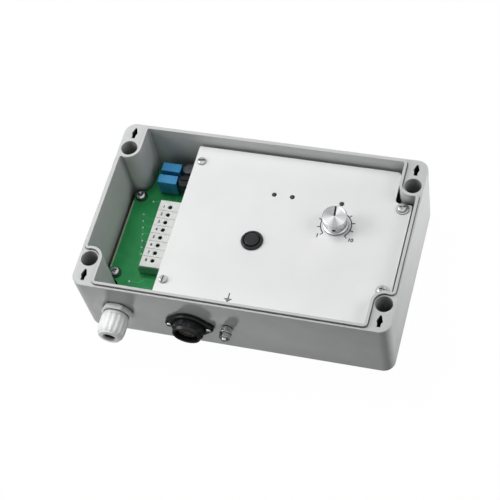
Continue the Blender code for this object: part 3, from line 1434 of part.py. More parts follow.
def main():
    """Build the whole control box."""
    clear_scene()
    box_grey = make_material("box_grey", (150, 152, 155), 0.5)
    panel_white = make_material("panel_white", (232, 233, 232), 0.42)
    board_green = make_material("board_green", (44, 118, 70), 0.4)
    terminal_green = make_material("terminal_green", (52, 128, 84), 0.45)
    plate_white = make_material("plate_white", (222, 224, 222), 0.5)
    capacitor_blue = make_material("capacitor_blue", (64, 140, 184), 0.4)
    moulded_black = make_material("moulded_black", (24, 25, 27), 0.42)
    satin_black = make_material("satin_black", (34, 35, 37), 0.3)
    sleeve_grey = make_material("sleeve_grey", (70, 72, 74), 0.4)
    relay_grey = make_material("relay_grey", (60, 66, 72), 0.4)
    insert_grey = make_material("insert_grey", (66, 64, 62), 0.5)
    gland_grey = make_material("gland_grey", (205, 207, 206), 0.45)
    rubber_black = make_material("rubber_black", (22, 22, 22), 0.7)
    led_tint = make_material("led_tint", (38, 44, 44), 0.15)
    knob_aluminium = make_material("knob_aluminium", (205, 206, 208), 0.25, 1.0)
    zinc_steel = make_material("zinc_steel", (196, 197, 198), 0.3, 1.0)
    dark_steel = make_material("dark_steel", (90, 92, 94), 0.4, 1.0)

    gland_seat = wall_seat("gland_seat", GLAND_FROM_END, GLAND_HEIGHT)
    connector_seat = wall_seat("connector_seat", CONNECTOR_FROM_END, CONNECTOR_HEIGHT)
    earth_seat = wall_seat("earth_seat", EARTH_FROM_END, EARTH_HEIGHT)
    knob_turn = (0, 0, math.radians(KNOB_POINTER_ANGLE))
    knob_axis = empty_at("knob_axis", (POT_X, POT_Y, PANEL_TOP), knob_turn)
    button_axis = empty_at("button_axis", (BUTTON_X, BUTTON_Y, PANEL_TOP))

    build_enclosure(box_grey, gland_seat, connector_seat, earth_seat)
    left_x, left_y = build_board_and_supports(board_green, zinc_steel, dark_steel)
    build_panel(panel_white, zinc_steel, left_x, left_y)
    build_terminals(terminal_green, plate_white, zinc_steel)
    build_components(capacitor_blue, moulded_black, sleeve_grey, moulded_black, relay_grey, moulded_black)
    build_control_board(board_green)
    build_potentiometer(zinc_steel, zinc_steel, zinc_steel, knob_axis)
    build_knob(knob_aluminium, dark_steel, knob_axis)
    build_button(moulded_black, satin_black, zinc_steel, button_axis)
    build_leds(led_tint)
    build_gland(gland_grey, rubber_black, gland_seat)
    build_connector(moulded_black, insert_grey, zinc_steel, connector_seat)
    build_earth_stud(zinc_steel, earth_seat)


main()
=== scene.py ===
"""Looks of a conveyor metal detector's control box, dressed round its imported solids.

Metres, +Z up, in the part's own frame: the origin is the centre of the enclosure's
underside, +X runs along the long side and the wall with the cable gland faces -Y.
Each sub-assembly is a class with its sizes as fields; its build method makes the
pieces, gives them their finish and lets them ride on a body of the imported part.
"""

import logging
import math
from dataclasses import dataclass, field
from enum import Enum
from typing import Callable, Sequence, Union

import bmesh
import bpy
from mathutils import Matrix, Vector
from mathutils.geometry import convex_hull_2d


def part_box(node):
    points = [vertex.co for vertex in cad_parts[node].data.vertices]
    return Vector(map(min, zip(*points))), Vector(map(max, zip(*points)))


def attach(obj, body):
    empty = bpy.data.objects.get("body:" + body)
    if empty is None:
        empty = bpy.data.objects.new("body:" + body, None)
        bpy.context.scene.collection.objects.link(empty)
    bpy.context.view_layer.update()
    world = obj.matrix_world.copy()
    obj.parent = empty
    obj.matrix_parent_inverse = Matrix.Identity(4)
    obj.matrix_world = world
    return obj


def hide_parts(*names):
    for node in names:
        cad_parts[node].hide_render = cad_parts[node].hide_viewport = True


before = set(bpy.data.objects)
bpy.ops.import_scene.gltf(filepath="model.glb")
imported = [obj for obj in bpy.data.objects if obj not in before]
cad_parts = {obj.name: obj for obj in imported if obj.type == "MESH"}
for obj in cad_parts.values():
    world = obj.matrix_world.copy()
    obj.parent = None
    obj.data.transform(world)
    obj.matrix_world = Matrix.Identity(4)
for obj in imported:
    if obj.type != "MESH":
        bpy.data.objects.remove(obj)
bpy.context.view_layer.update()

Thing = bpy.types.Object
Mesh = bpy.types.Mesh
Socket = bpy.types.NodeSocket
Point = tuple[float, float]
Spot = tuple[float, float, float]
Colour = tuple[int, int, int]
Reach = Union[float, Callable[[float], float]]
Ring = list[Spot]
Profile = list[tuple[Reach, float]]

LOG = logging.getLogger("control_box")

# Lengths: between touching pieces, of cutters past a face, on the axis, of leftover edges.
TOUCH_GAP = 0.0003
PAST = 0.002
AXIS_LIMIT = 1e-7
SLIVER = 1e-6
# Angles between faces that stay smooth, that are broken, and that count as straight.
SMOOTH_ANGLE = math.radians(34)
BEVEL_ANGLE = math.radians(38)
STRAIGHT_ANGLE = math.radians(86)
FULL_TURN = 2 * math.pi
# Shares and colours of the finishes.
WHITE = (1.0, 1.0, 1.0, 1.0)
# Painted shade: the colour that ambient occlusion mixes into bores, corners and other recesses.
PAINTED_RECESS_SHADE = (38, 40, 42)
NOISE_MIDDLE = (0.3, 0.7)
# Span of ambient occlusion over which the painted shade fades out.
OPENNESS = (0.12, 0.8)
GLOSS_SPAN = (0.86, 1.14)
# Printed numerals, and words in the nodes' names.
NUMERAL_WEIGHT = 0.04
NUMERAL_STEPS = 3
LED_WORDS = ("left", "middle", "right")
SIDES = ("front", "back")
ENDS = ("left", "right")


class Body(Enum):
    """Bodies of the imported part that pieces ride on."""

    ENCLOSURE = "enclosure"
    KNOB = "knob"
    BUTTON = "button"


class Op(Enum):
    """How a second form changes the first."""

    CUT = "DIFFERENCE"
    JOIN = "UNION"


class Drive(Enum):
    """Recess in a screw's head."""

    CROSS = "cross"
    SLOT = "slot"


class Grain(Enum):
    """How a surface is worked."""

    MOULDED = "fine spark-eroded grain of a mould"
    PAINTED = "soft orange peel of paint"
    TURNED = "rings left by a lathe tool"
    PLATED = "cloudy zinc plate"
    WOVEN = "glass weave under solder mask"


def arc(centre: Point, radius: float, start: float, end: float, steps: int) -> list[Point]:
    """Points on an arc.

    Args:
        centre: Middle of the arc.
        radius: Its radius.
        start: First angle in degrees.
        end: Last angle in degrees.
        steps: Number of chords.

    Returns:
        The points from start to end.
    """
    points = []
    for step in range(steps + 1):
        angle = math.radians(start + (end - start) * step / steps)
        points.append((centre[0] + radius * math.cos(angle), centre[1] + radius * math.sin(angle)))
    return points


def softened(
    corners: Sequence[Point],
    radius: Union[float, Sequence[float]],
    steps: int = 3,
    closed: bool = False,
) -> list[Point]:
    """Round the corners of an outline or of a lathe profile.

    Args:
        corners: The sharp corners in order.
        radius: One radius for all corners, or one for each.
        steps: Chords in each rounding.
        closed: True for an outline, False for a profile that keeps its two ends.

    Returns:
        The rounded points.
    """
    count = len(corners)
    points: list[Point] = []
    for index, corner in enumerate(corners):
        wanted = radius if isinstance(radius, (int, float)) else radius[index]
        here = Vector(corner)
        before = Vector(corners[index - 1]) - here
        after = Vector(corners[(index + 1) % count]) - here
        at_end = not closed and index in (0, count - 1)
        half = before.angle(after, math.pi) / 2
        if at_end or wanted <= 0 or half > STRAIGHT_ANGLE:
            points.append(tuple(corner))
            continue
        run = min(wanted / math.tan(half), 0.45 * before.length, 0.45 * after.length)
        size = run * math.tan(half)
        before.normalize()
        after.normalize()
        centre = here + (before + after).normalized() * size / math.sin(half)
        first = here + before * run - centre
        last = here + after * run - centre
        sweep = first.angle_signed(last)
        for step in range(steps + 1):
            spoke = first.copy()
            spoke.rotate(Matrix.Rotation(-sweep * step / steps, 2))
            points.append(tuple(centre + spoke))
    return points


def rectangle(low: Point, high: Point) -> list[Point]:
    """Outline of a rectangle between two corners."""
    return [low, (high[0], low[1]), high, (low[0], high[1])]


def hexagon(across_flats: float, rounding: float = 0.985) -> Callable[[float], float]:
    """Radius of a hexagon with slightly broken corners.

    Args:
        across_flats: Distance between two flats.
        rounding: Share of the corner radius that stays.

    Returns:
        A function from an angle to a radius.
    """
    corner = across_flats / 2 / math.cos(math.pi / 6) * rounding

    def reach(angle: float) -> float:
        """Radius at an angle."""
        side = (angle + math.pi / 6) % (math.pi / 3) - math.pi / 6
        return min(across_flats / 2 / math.cos(side), corner)

    return reach


def ribbed(radius: float, ribs: int, depth: float, share: float = 0.5) -> Callable[[float], float]:
    """Radius of a grip with raised ribs that have sloping flanks.

    Args:
        radius: Radius on the ribs.
        ribs: Number of ribs.
        depth: Depth of the valleys.
        share: Share of each pitch that is rib.

    Returns:
        A function from an angle to a radius.
    """
    flank = 0.14
    phase_shift = 1e-6

    def reach(angle: float) -> float:
        """Radius at an angle.

        Args:
            angle: Angle in radians.

        Returns:
            The radius there.
        """
        phase = (angle * ribs / FULL_TURN + phase_shift) % 1
        rise = min(phase / flank, 1.0) if phase < share else max(1 - (phase - share) / flank, 0.0)
        return radius - depth * (1 - rise)

    return reach


class Forge:
    """Collects turned, lofted and extruded forms and turns them into one piece."""

    def __init__(self) -> None:
        """Start with no faces."""
        self.bm = bmesh.new()

    def _ring(self, points: Sequence[Spot]) -> list[bmesh.types.BMVert]:
        """Add the vertices of one ring."""
        return [self.bm.verts.new(point) for point in points]

    def _bridge(self, lower: list, upper: list) -> None:
        """Join two rings, or a ring and a point, with faces.

        Args:
            lower: Vertices of the first ring, or one vertex.
            upper: Vertices of the second ring, or one vertex.
        """
        count = max(len(lower), len(upper))
        if count == 1:
            return
        for step in range(count):
            ahead = (step + 1) % count
            low = [lower[0]] if len(lower) == 1 else [lower[step], lower[ahead]]
            high = [upper[0]] if len(upper) == 1 else [upper[ahead], upper[step]]
            self.bm.faces.new(low + high)

    def turned(
        self, profile: Sequence[tuple[Reach, float]], steps: int = 48, centre: Point = (0.0, 0.0)
    ) -> "Forge":
        """Turn a profile about an upright axis.

        Args:
            profile: Pairs of radius and height; a radius may depend on the angle.
            steps: Facets round the axis.
            centre: Where the axis stands.

        Returns:
            The forge itself.
        """
        loops = []
        for reach, height in profile:
            if not callable(reach) and reach < AXIS_LIMIT:
                loops.append(self._ring([(centre[0], centre[1], height)]))
                continue
            ring = []
            for step in range(steps):
                angle = FULL_TURN * step / steps
                radius = reach(angle) if callable(reach) else reach
                x, y = radius * math.cos(angle), radius * math.sin(angle)
                ring.append((centre[0] + x, centre[1] + y, height))
            loops.append(self._ring(ring))
        pairs = list(zip(loops, loops[1:]))
        if len(loops[0]) > 1 and len(loops[-1]) > 1:
            pairs.append((loops[-1], loops[0]))
        for lower, upper in pairs:
            self._bridge(lower, upper)
        return self

    def loft(self, rings: Sequence[Ring]) -> "Forge":
        """Skin a closed solid over rings with equal numbers of points.

        Args:
            rings: The rings in order; the first and the last are capped.

        Returns:
            The forge itself.
        """
        loops = [self._ring(ring) for ring in rings]
        self.bm.faces.new(loops[0])
        self.bm.faces.new(loops[-1])
        for lower, upper in zip(loops, loops[1:]):
            self._bridge(lower, upper)
        return self

    def prism(self, outline: Sequence[Point], bottom: float, top: float) -> "Forge":
        """Extrude a flat outline from one height to another."""
        return self.loft([[(x, y, height) for x, y in outline] for height in (bottom, top)])

    def box(self, low: Spot, high: Spot) -> "Forge":
        """Add a box between two corners."""
        return self.prism(rectangle(low[:2], high[:2]), low[2], high[2])

    def rod(self, radius: float, low: float, high: float, steps: int, centre: Point = (0.0, 0.0)) -> "Forge":
        """Add a plain upright cylinder."""
        return self.turned(rectangle((0.0, low), (radius, high)), steps, centre)

    def copied(self, mesh: Mesh, matrix: Matrix) -> "Forge":
        """Add a copy of a mesh, moved by a matrix.

        Args:
            mesh: Mesh data, which is moved too.
            matrix: Where it goes.

        Returns:
            The forge itself.
        """
        mesh.transform(matrix)
        self.bm.from_mesh(mesh)
        return self

    def moved(self, matrix: Matrix) -> "Forge":
        """Move everything that the forge holds so far."""
        bmesh.ops.transform(self.bm, matrix=matrix, verts=self.bm.verts)
        return self

    def mesh(self, name: str) -> Mesh:
        """Close the forge into mesh data with outward faces.

        Args:
            name: Name of the mesh.

        Returns:
            The new mesh, smooth with sharp edges at steep angles.
        """
        bmesh.ops.recalc_face_normals(self.bm, faces=self.bm.faces)
        mesh = bpy.data.meshes.new(name)
        self.bm.to_mesh(mesh)
        self.bm.free()
        mesh.shade_smooth()
        mesh.set_sharp_from_angle(angle=SMOOTH_ANGLE)
        return mesh

    @staticmethod
    def _cleaned(mesh: Mesh) -> None:
        """Melt the slivers that cuts leave behind, all far smaller than any feature.

        Args:
            mesh: Mesh data to clean.
        """
        bm = bmesh.new()
        bm.from_mesh(mesh)
        bmesh.ops.remove_doubles(bm, verts=bm.verts, dist=SLIVER)
        bmesh.ops.dissolve_degenerate(bm, edges=bm.edges, dist=SLIVER)
        bm.to_mesh(mesh)
        bm.free()

    def piece(
        self,
        name: str,
        finish: "Finish",
        matrix: Matrix = Matrix.Identity(4),
        steps: Sequence[tuple[Op, "Forge"]] = (),
        edge: float = 0.0,
    ) -> Thing:
        """Make the object: cut and join, break the edges, settle the mesh.

        Args:
            name: Name of the piece.
            finish: Its finish.
            matrix: Where it stands.
            steps: Forms to cut from it or join to it, in order.
            edge: Width of the broken edges, or 0 for none.

        Returns:
            The finished object, with no modifiers left.
        """
        thing = bpy.data.objects.new(name, self.mesh(name))
        bpy.context.collection.objects.link(thing)
        tools = []
        for op, form in steps:
            tool = bpy.data.objects.new(name + "_tool", form.mesh(name + "_tool"))
            bpy.context.collection.objects.link(tool)
            tools.append(tool)
            boolean = thing.modifiers.new(op.value, "BOOLEAN")
            boolean.operation = op.value
            boolean.solver = "EXACT"
            boolean.object = tool
        if edge:
            bevel = thing.modifiers.new("Broken edge", "BEVEL")
            bevel.width = edge
            bevel.segments = 2
            bevel.limit_method = "ANGLE"
            bevel.angle_limit = BEVEL_ANGLE
            bevel.harden_normals = True
        if thing.modifiers:
            bpy.context.view_layer.update()
            graph = bpy.context.evaluated_depsgraph_get()
            settled = bpy.data.meshes.new_from_object(thing.evaluated_get(graph))
            settled.name = name
            thing.modifiers.clear()
            thing.data = settled
            if not edge:
                self._cleaned(settled)
                settled.shade_smooth()
                settled.set_sharp_from_angle(angle=SMOOTH_ANGLE)
        for tool in tools:
            bpy.data.objects.remove(tool, do_unlink=True)
        thing.data.materials.clear()
        thing.data.materials.append(finish.material())
        thing.matrix_world = matrix
        return thing


def linear(colour: Colour) -> tuple[float, float, float, float]:
    """Turn 0 to 255 display values into the linear colour that shaders use."""
    shares = [value / 255 for value in colour]
    return (*(s / 12.92 if s <= 0.04045 else ((s + 0.055) / 1.055) ** 2.4 for s in shares), 1.0)


class Wiring:
    """A node tree with short calls for its nodes and links."""

    def __init__(self, owner: Union[bpy.types.Material, bpy.types.World]) -> None:
        """Switch the owner's nodes on and take its tree."""
        owner.use_nodes = True
        self.tree = owner.node_tree

    def add(self, kind: str) -> bpy.types.Node:
        """Add a node of a kind."""
        return self.tree.nodes.new(kind)

    def join(self, source: Socket, target: Socket) -> None:
        """Link two sockets."""
        self.tree.links.new(source, target)


class Sheet(Wiring):
    """One material's node tree, with the groups of nodes that finishes share."""

    def __init__(self, name: str) -> None:
        """Start a material that has one Principled shader.

        Args:
            name: Name of the material.
        """
        self.material = bpy.data.materials.new(name)
        super().__init__(self.material)
        self.shader = self.tree.nodes["Principled BSDF"]
        self.place = self.add("ShaderNodeTexCoord").outputs["Object"]

    def noise(
        self, size: float, detail: float = 2.0, stretch: Spot = (1, 1, 1), rings: bool = False
    ) -> Socket:
        """Noise fixed to the piece.

        Args:
            size: Size of its patches in metres.
            detail: Finer octaves.
            stretch: Factors on the coordinates; a small one draws the noise out.
            rings: True to let it depend on radius and height only, as lathe marks do.

        Returns:
            The socket with values from 0 to 1.
        """
        place = self.place
        if rings:
            split = self.add("ShaderNodeSeparateXYZ")
            flat = self.add("ShaderNodeCombineXYZ")
            length = self.add("ShaderNodeVectorMath")
            both = self.add("ShaderNodeCombineXYZ")
            length.operation = "LENGTH"
            self.join(place, split.inputs[0])
            self.join(split.outputs["X"], flat.inputs["X"])
            self.join(split.outputs["Y"], flat.inputs["Y"])
            self.join(flat.outputs[0], length.inputs[0])
            self.join(length.outputs["Value"], both.inputs["X"])
            self.join(split.outputs["Z"], both.inputs["Z"])
            place = both.outputs[0]
        mapping = self.add("ShaderNodeMapping")
        mapping.inputs["Scale"].default_value = stretch
        texture = self.add("ShaderNodeTexNoise")
        texture.inputs["Scale"].default_value = 1 / size
        texture.inputs["Detail"].default_value = detail
        self.join(place, mapping.inputs["Vector"])
        self.join(mapping.outputs[0], texture.inputs["Vector"])
        return texture.outputs["Fac"]

    def span(self, source: Socket, low: float, high: float) -> Socket:
        """Map the middle of a noise to a span of values.

        Args:
            source: Noise from 0 to 1.
            low: Value at its darker side.
            high: Value at its lighter side.

        Returns:
            The mapped socket.
        """
        node = self.add("ShaderNodeMapRange")
        node.inputs["From Min"].default_value, node.inputs["From Max"].default_value = NOISE_MIDDLE
        node.inputs["To Min"].default_value = low
        node.inputs["To Max"].default_value = high
        self.join(source, node.inputs["Value"])
        return node.outputs["Result"]

    def painted_recess_shade(self, colour: Socket, reach: float) -> Socket:
        """Paint shade into a colour by ambient occlusion where walls close in, as in bores and corners.

        Args:
            colour: The open surface's colour.
            reach: How near the walls have to be.

        Returns:
            The colour's socket.
        """
        near = self.add("ShaderNodeAmbientOcclusion")
        near.samples = 16
        near.inputs["Distance"].default_value = reach
        factor = self.add("ShaderNodeMapRange")
        factor.inputs["From Min"].default_value, factor.inputs["From Max"].default_value = OPENNESS
        self.join(near.outputs["AO"], factor.inputs["Value"])
        mix = self.add("ShaderNodeMix")
        mix.data_type = "RGBA"
        mix.inputs[6].default_value = linear(PAINTED_RECESS_SHADE)
        self.join(factor.outputs["Result"], mix.inputs[0])
        self.join(colour, mix.inputs[7])
        return mix.outputs[2]

    def blend(self, factor: Socket, first: Colour, second: Colour) -> Socket:
        """Mix two display colours by a factor.

        Args:
            factor: Share of the second colour.
            first: Colour at 0.
            second: Colour at 1.

        Returns:
            The mixed colour's socket.
        """
        node = self.add("ShaderNodeMix")
        node.data_type = "RGBA"
        node.inputs[6].default_value = linear(first)
        node.inputs[7].default_value = linear(second)
        self.join(factor, node.inputs[0])
        return node.outputs[2]

    def painted_sheen(self, stops: Sequence[Point]) -> Socket:
        """Painted sheen: light and dark wedges round the piece's axis, in place of the reflections of fine
        lathe marks.

        Args:
            stops: Pairs of an angle in degrees, from -180 to 180, and a value from 0 to 1.

        Returns:
            The socket with values from 0 to 1.
        """
        split = self.add("ShaderNodeSeparateXYZ")
        angle = self.add("ShaderNodeMath")
        share = self.add("ShaderNodeMath")
        ramp = self.add("ShaderNodeValToRGB")
        angle.operation = "ARCTAN2"
        share.operation = "MULTIPLY_ADD"
        share.inputs[1].default_value = 1 / FULL_TURN
        share.inputs[2].default_value = 0.5
        self.join(self.place, split.inputs[0])
        self.join(split.outputs["Y"], angle.inputs[0])
        self.join(split.outputs["X"], angle.inputs[1])
        self.join(angle.outputs[0], share.inputs[0])
        self.join(share.outputs[0], ramp.inputs[0])
        marks = ramp.color_ramp.elements
        marks.remove(marks[-1])
        for index, (degrees, value) in enumerate(stops):
            mark = marks.new(degrees / 360 + 0.5) if index else marks[0]
            mark.position = degrees / 360 + 0.5
            mark.color = (value, value, value, 1.0)
        return ramp.outputs["Color"]

    def bump(self, height: Socket, depth: float, strength: float) -> None:
        """Raise the surface by a height map.

        Args:
            height: Values from 0 to 1.
            depth: Height of the relief in metres.
            strength: Share of it that shows.
        """
        node = self.add("ShaderNodeBump")
        node.inputs["Distance"].default_value = depth
        node.inputs["Strength"].default_value = strength
        self.join(height, node.inputs["Height"])
        self.join(node.outputs["Normal"], self.shader.inputs["Normal"])


@dataclass(frozen=True)
class Finish:
    """How one material of the box looks."""

    name: str
    colour: Colour
    # Second tone, mixed in by noise; on the knob it is the dark tone of the painted sheen instead.
    shade: Colour
    roughness: float
    grain: Grain = Grain.MOULDED
    metallic: float = 0.0
    patch: float = 0.02
    grain_size: float = 0.0007
    depth: float = 0.00003
    strength: float = 0.25
    coat: float = 0.0
    anisotropy: float = 0.0
    specular: float = 0.5
    # Angles and shares of a painted sheen round the axis, or none.
    painted_sheen: tuple[Point, ...] = ()
    # Reach of the painted shade that ambient occlusion puts into recesses, or 0 for none.
    recess: float = 0.0

    def material(self) -> bpy.types.Material:
        """The finish as a material, made once.

        Returns:
            The material with procedural colour, roughness and relief.
        """
        known = bpy.data.materials.get(self.name)
        if known is not None:
            return known
        sheet = Sheet(self.name)
        shader = sheet.shader
        turned = self.grain is Grain.TURNED
        shader.inputs["Metallic"].default_value = self.metallic
        shader.inputs["Coat Weight"].default_value = self.coat
        shader.inputs["Anisotropic"].default_value = self.anisotropy
        shader.inputs["Specular IOR Level"].default_value = self.specular
        # Painted sheen: light and dark wedges round the axis take the place of the random tone.
        if self.painted_sheen:
            factor = sheet.painted_sheen(self.painted_sheen)
        else:
            factor = sheet.span(sheet.noise(self.patch, 3.0), 0.0, 1.0)
        colour = sheet.blend(factor, self.shade, self.colour)
        # Painted shade: ambient occlusion darkens the colour in bores, corners and other recesses.
        if self.recess:
            colour = sheet.painted_recess_shade(colour, self.recess)
        sheet.join(colour, shader.inputs["Base Color"])
        fine = sheet.noise(self.grain_size, 1.0, rings=turned)
        gloss = sheet.span(fine, *(self.roughness * share for share in GLOSS_SPAN))
        sheet.join(gloss, shader.inputs["Roughness"])
        relief = fine
        if self.grain is Grain.WOVEN:
            relief = sheet.noise(self.grain_size, 0.0, (1.0, 0.25, 1.0))
        elif self.grain is Grain.PLATED:
            relief = sheet.noise(self.grain_size, 2.0, (1.0, 1.0, 0.4))
        if turned:
            tangent = sheet.add("ShaderNodeTangent")
            tangent.direction_type = "RADIAL"
            tangent.axis = "Z"
            sheet.join(tangent.outputs["Tangent"], shader.inputs["Tangent"])
        sheet.bump(relief, self.depth, self.strength)
        return sheet.material


# Painted sheen on the knob's crown: pairs of an angle in degrees and the share of the lighter tone.
PAINTED_CROWN_SHEEN = (
    (-180, 0.35), (-149, 0.9), (-135, 1.0), (-115, 0.8), (-90, 0.1), (-72, 0.1), (-50, 0.7), (-38, 0.9),
    (-22, 0.55), (10, 0.3), (36, 0.6), (61, 1.0), (72, 0.95), (88, 0.3), (108, 0.05), (142, 0.0),
    (162, 0.08), (180, 0.35),
)


@dataclass(frozen=True)
class Finishes:
    """Every finish on the box, named for what it is on."""

    # Its bores, latch holes and inside corners get painted shade by ambient occlusion.
    box: Finish = Finish(
        "moulded box grey", (208, 209, 209), (202, 203, 203), 0.46, specular=0.2, recess=0.0133
    )
    # Painted shade by ambient occlusion darkens it round the screws, holes and gaps.
    panel: Finish = Finish(
        "painted panel", (236, 237, 236), (230, 231, 231), 0.38, Grain.PAINTED, patch=0.06,
        grain_size=0.0012, strength=0.12, specular=0.3, recess=0.0025,
    )
    ink: Finish = Finish("panel print", (36, 38, 40), (26, 28, 30), 0.6, patch=0.002, specular=0.2)
    board: Finish = Finish(
        "solder mask", (42, 152, 86), (35, 138, 76), 0.4, Grain.WOVEN, patch=0.012,
        grain_size=0.0009, specular=0.25,
    )
    track: Finish = Finish("masked track", (58, 166, 100), (50, 154, 92), 0.36, patch=0.006, specular=0.25)
    laminate: Finish = Finish(
        "bare laminate", (176, 186, 158), (160, 172, 142), 0.6, Grain.WOVEN, patch=0.004
    )
    solder: Finish = Finish("tinned pad", (206, 208, 210), (176, 178, 180), 0.28, Grain.PLATED, 1.0, 0.002)
    terminal: Finish = Finish("terminal green", (124, 186, 148), (112, 174, 136), 0.42, patch=0.008)
    plate: Finish = Finish("marking plate", (249, 250, 248), (240, 242, 240), 0.5, patch=0.003)
    blue: Finish = Finish("capacitor blue", (64, 150, 202), (56, 138, 188), 0.36, patch=0.006, specular=0.3)
    black: Finish = Finish("moulded black", (25, 27, 29), (19, 21, 23), 0.36, patch=0.006, specular=0.35)
    satin: Finish = Finish("satin black", (38, 39, 41), (32, 33, 35), 0.34, patch=0.004, specular=0.3)
    sleeve: Finish = Finish("capacitor sleeve", (72, 74, 77), (60, 62, 65), 0.36, patch=0.004)
    can: Finish = Finish("can top", (98, 100, 103), (84, 86, 89), 0.4, Grain.PLATED, 0.5, 0.003)
    relay: Finish = Finish("relay case", (66, 72, 78), (56, 62, 68), 0.38, patch=0.008)
    insert: Finish = Finish("contact insert", (78, 73, 69), (64, 60, 56), 0.48, patch=0.004)
    brass: Finish = Finish("contact brass", (214, 186, 120), (190, 160, 98), 0.3, Grain.TURNED, 1.0, 0.002)
    # Painted shade by ambient occlusion darkens its mouth and hollows.
    gland: Finish = Finish(
        "gland grey", (245, 246, 245), (239, 241, 240), 0.42, patch=0.008, specular=0.3, recess=0.006
    )
    rubber: Finish = Finish("seal rubber", (20, 20, 21), (14, 14, 15), 0.72, patch=0.003)
    led: Finish = Finish(
        "tinted lens", (30, 34, 34), (22, 26, 26), 0.12, patch=0.002, coat=0.6, strength=0.05
    )
    # Its two tones are painted sheen: lit and shaded wedges round the axis.
    knob: Finish = Finish(
        "turned aluminium", (244, 245, 246), (170, 171, 173), 0.26, Grain.TURNED, 1.0, 0.004,
        0.00025, anisotropy=0.6, painted_sheen=PAINTED_CROWN_SHEEN,
    )
    # Painted shade by ambient occlusion darkens its recesses and the rings round the heads.
    zinc: Finish = Finish(
        "zinc plate", (204, 206, 208), (180, 182, 184), 0.26, Grain.PLATED, 1.0, 0.002, 0.0005, recess=0.0025
    )
    dark: Finish = Finish(
        "blackened steel", (62, 64, 66), (44, 46, 48), 0.38, Grain.PLATED, 0.7, 0.002, 0.0005
    )


FINISH = Finishes()


@dataclass(frozen=True)
class BoxSizes:
    """Sizes of the enclosure base that its fittings share, in metres."""

    half_length: float = 0.130
    half_width: float = 0.080
    height: float = 0.068
    wall: float = 0.0045
    floor: float = 0.004
    draft: float = 0.0012
    panel_top: float = 0.0575
    panel_bottom: float = 0.0555
    board_top: float = 0.0200
    board_seat: float = 0.0203

    def inset(self, height: float) -> float:
        """How far the drafted walls stand in from the rim at a height."""
        return self.draft * (1 - height / self.height)

    def seat(self, x: float, height: float) -> Matrix:
        """Axes on the outside of the front wall, Z outward.

        Args:
            x: Place along the wall.
            height: Height above the underside.

        Returns:
            The seat's matrix.
        """
        lean = math.pi / 2 + math.atan2(self.draft, self.height)
        spot = (x, -(self.half_width - self.inset(height)), height)
        return Matrix.Translation(spot) @ Matrix.Rotation(lean, 4, "X")


BOX = BoxSizes()


def standing_on(node: str, turn: float = 0.0) -> Matrix:
    """Axes at the middle of a CAD node's underside.

    Args:
        node: Name of the node.
        turn: Turn about Z in radians.

    Returns:
        The matrix.
    """
    low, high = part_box(node)
    spot = ((low.x + high.x) / 2, (low.y + high.y) / 2, low.z)
    return Matrix.Translation(spot) @ Matrix.Rotation(turn, 4, "Z")


@dataclass
class Assembly:
    """A sub-assembly that keeps a list of the pieces it has made."""

    pieces: list[Thing] = field(default_factory=list, init=False)

    def show(self, piece: Thing, slot: str, *nodes: str, body: Body = Body.ENCLOSURE) -> Thing:
        """Let a piece ride on its body and stand for its CAD nodes.

        Args:
            piece: The finished object.
            slot: The record's material slot; not used.
            *nodes: CAD nodes that it replaces.
            body: Body it rides on.

        Returns:
            The piece.
        """
        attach(piece, body.value)
        if nodes:
            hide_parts(*nodes)
        self.pieces.append(piece)
        return piece

    def dress(self, node: str, slot: str, finish: Finish) -> None:
        """Keep a CAD node's own mesh and give it a finish.

        Args:
            node: Name of the node.
            slot: The record's material slot; not used.
            finish: The finish it gets.
        """
        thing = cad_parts[node]
        thing.data.materials.clear()
        thing.data.materials.append(finish.material())
        self.pieces.append(thing)


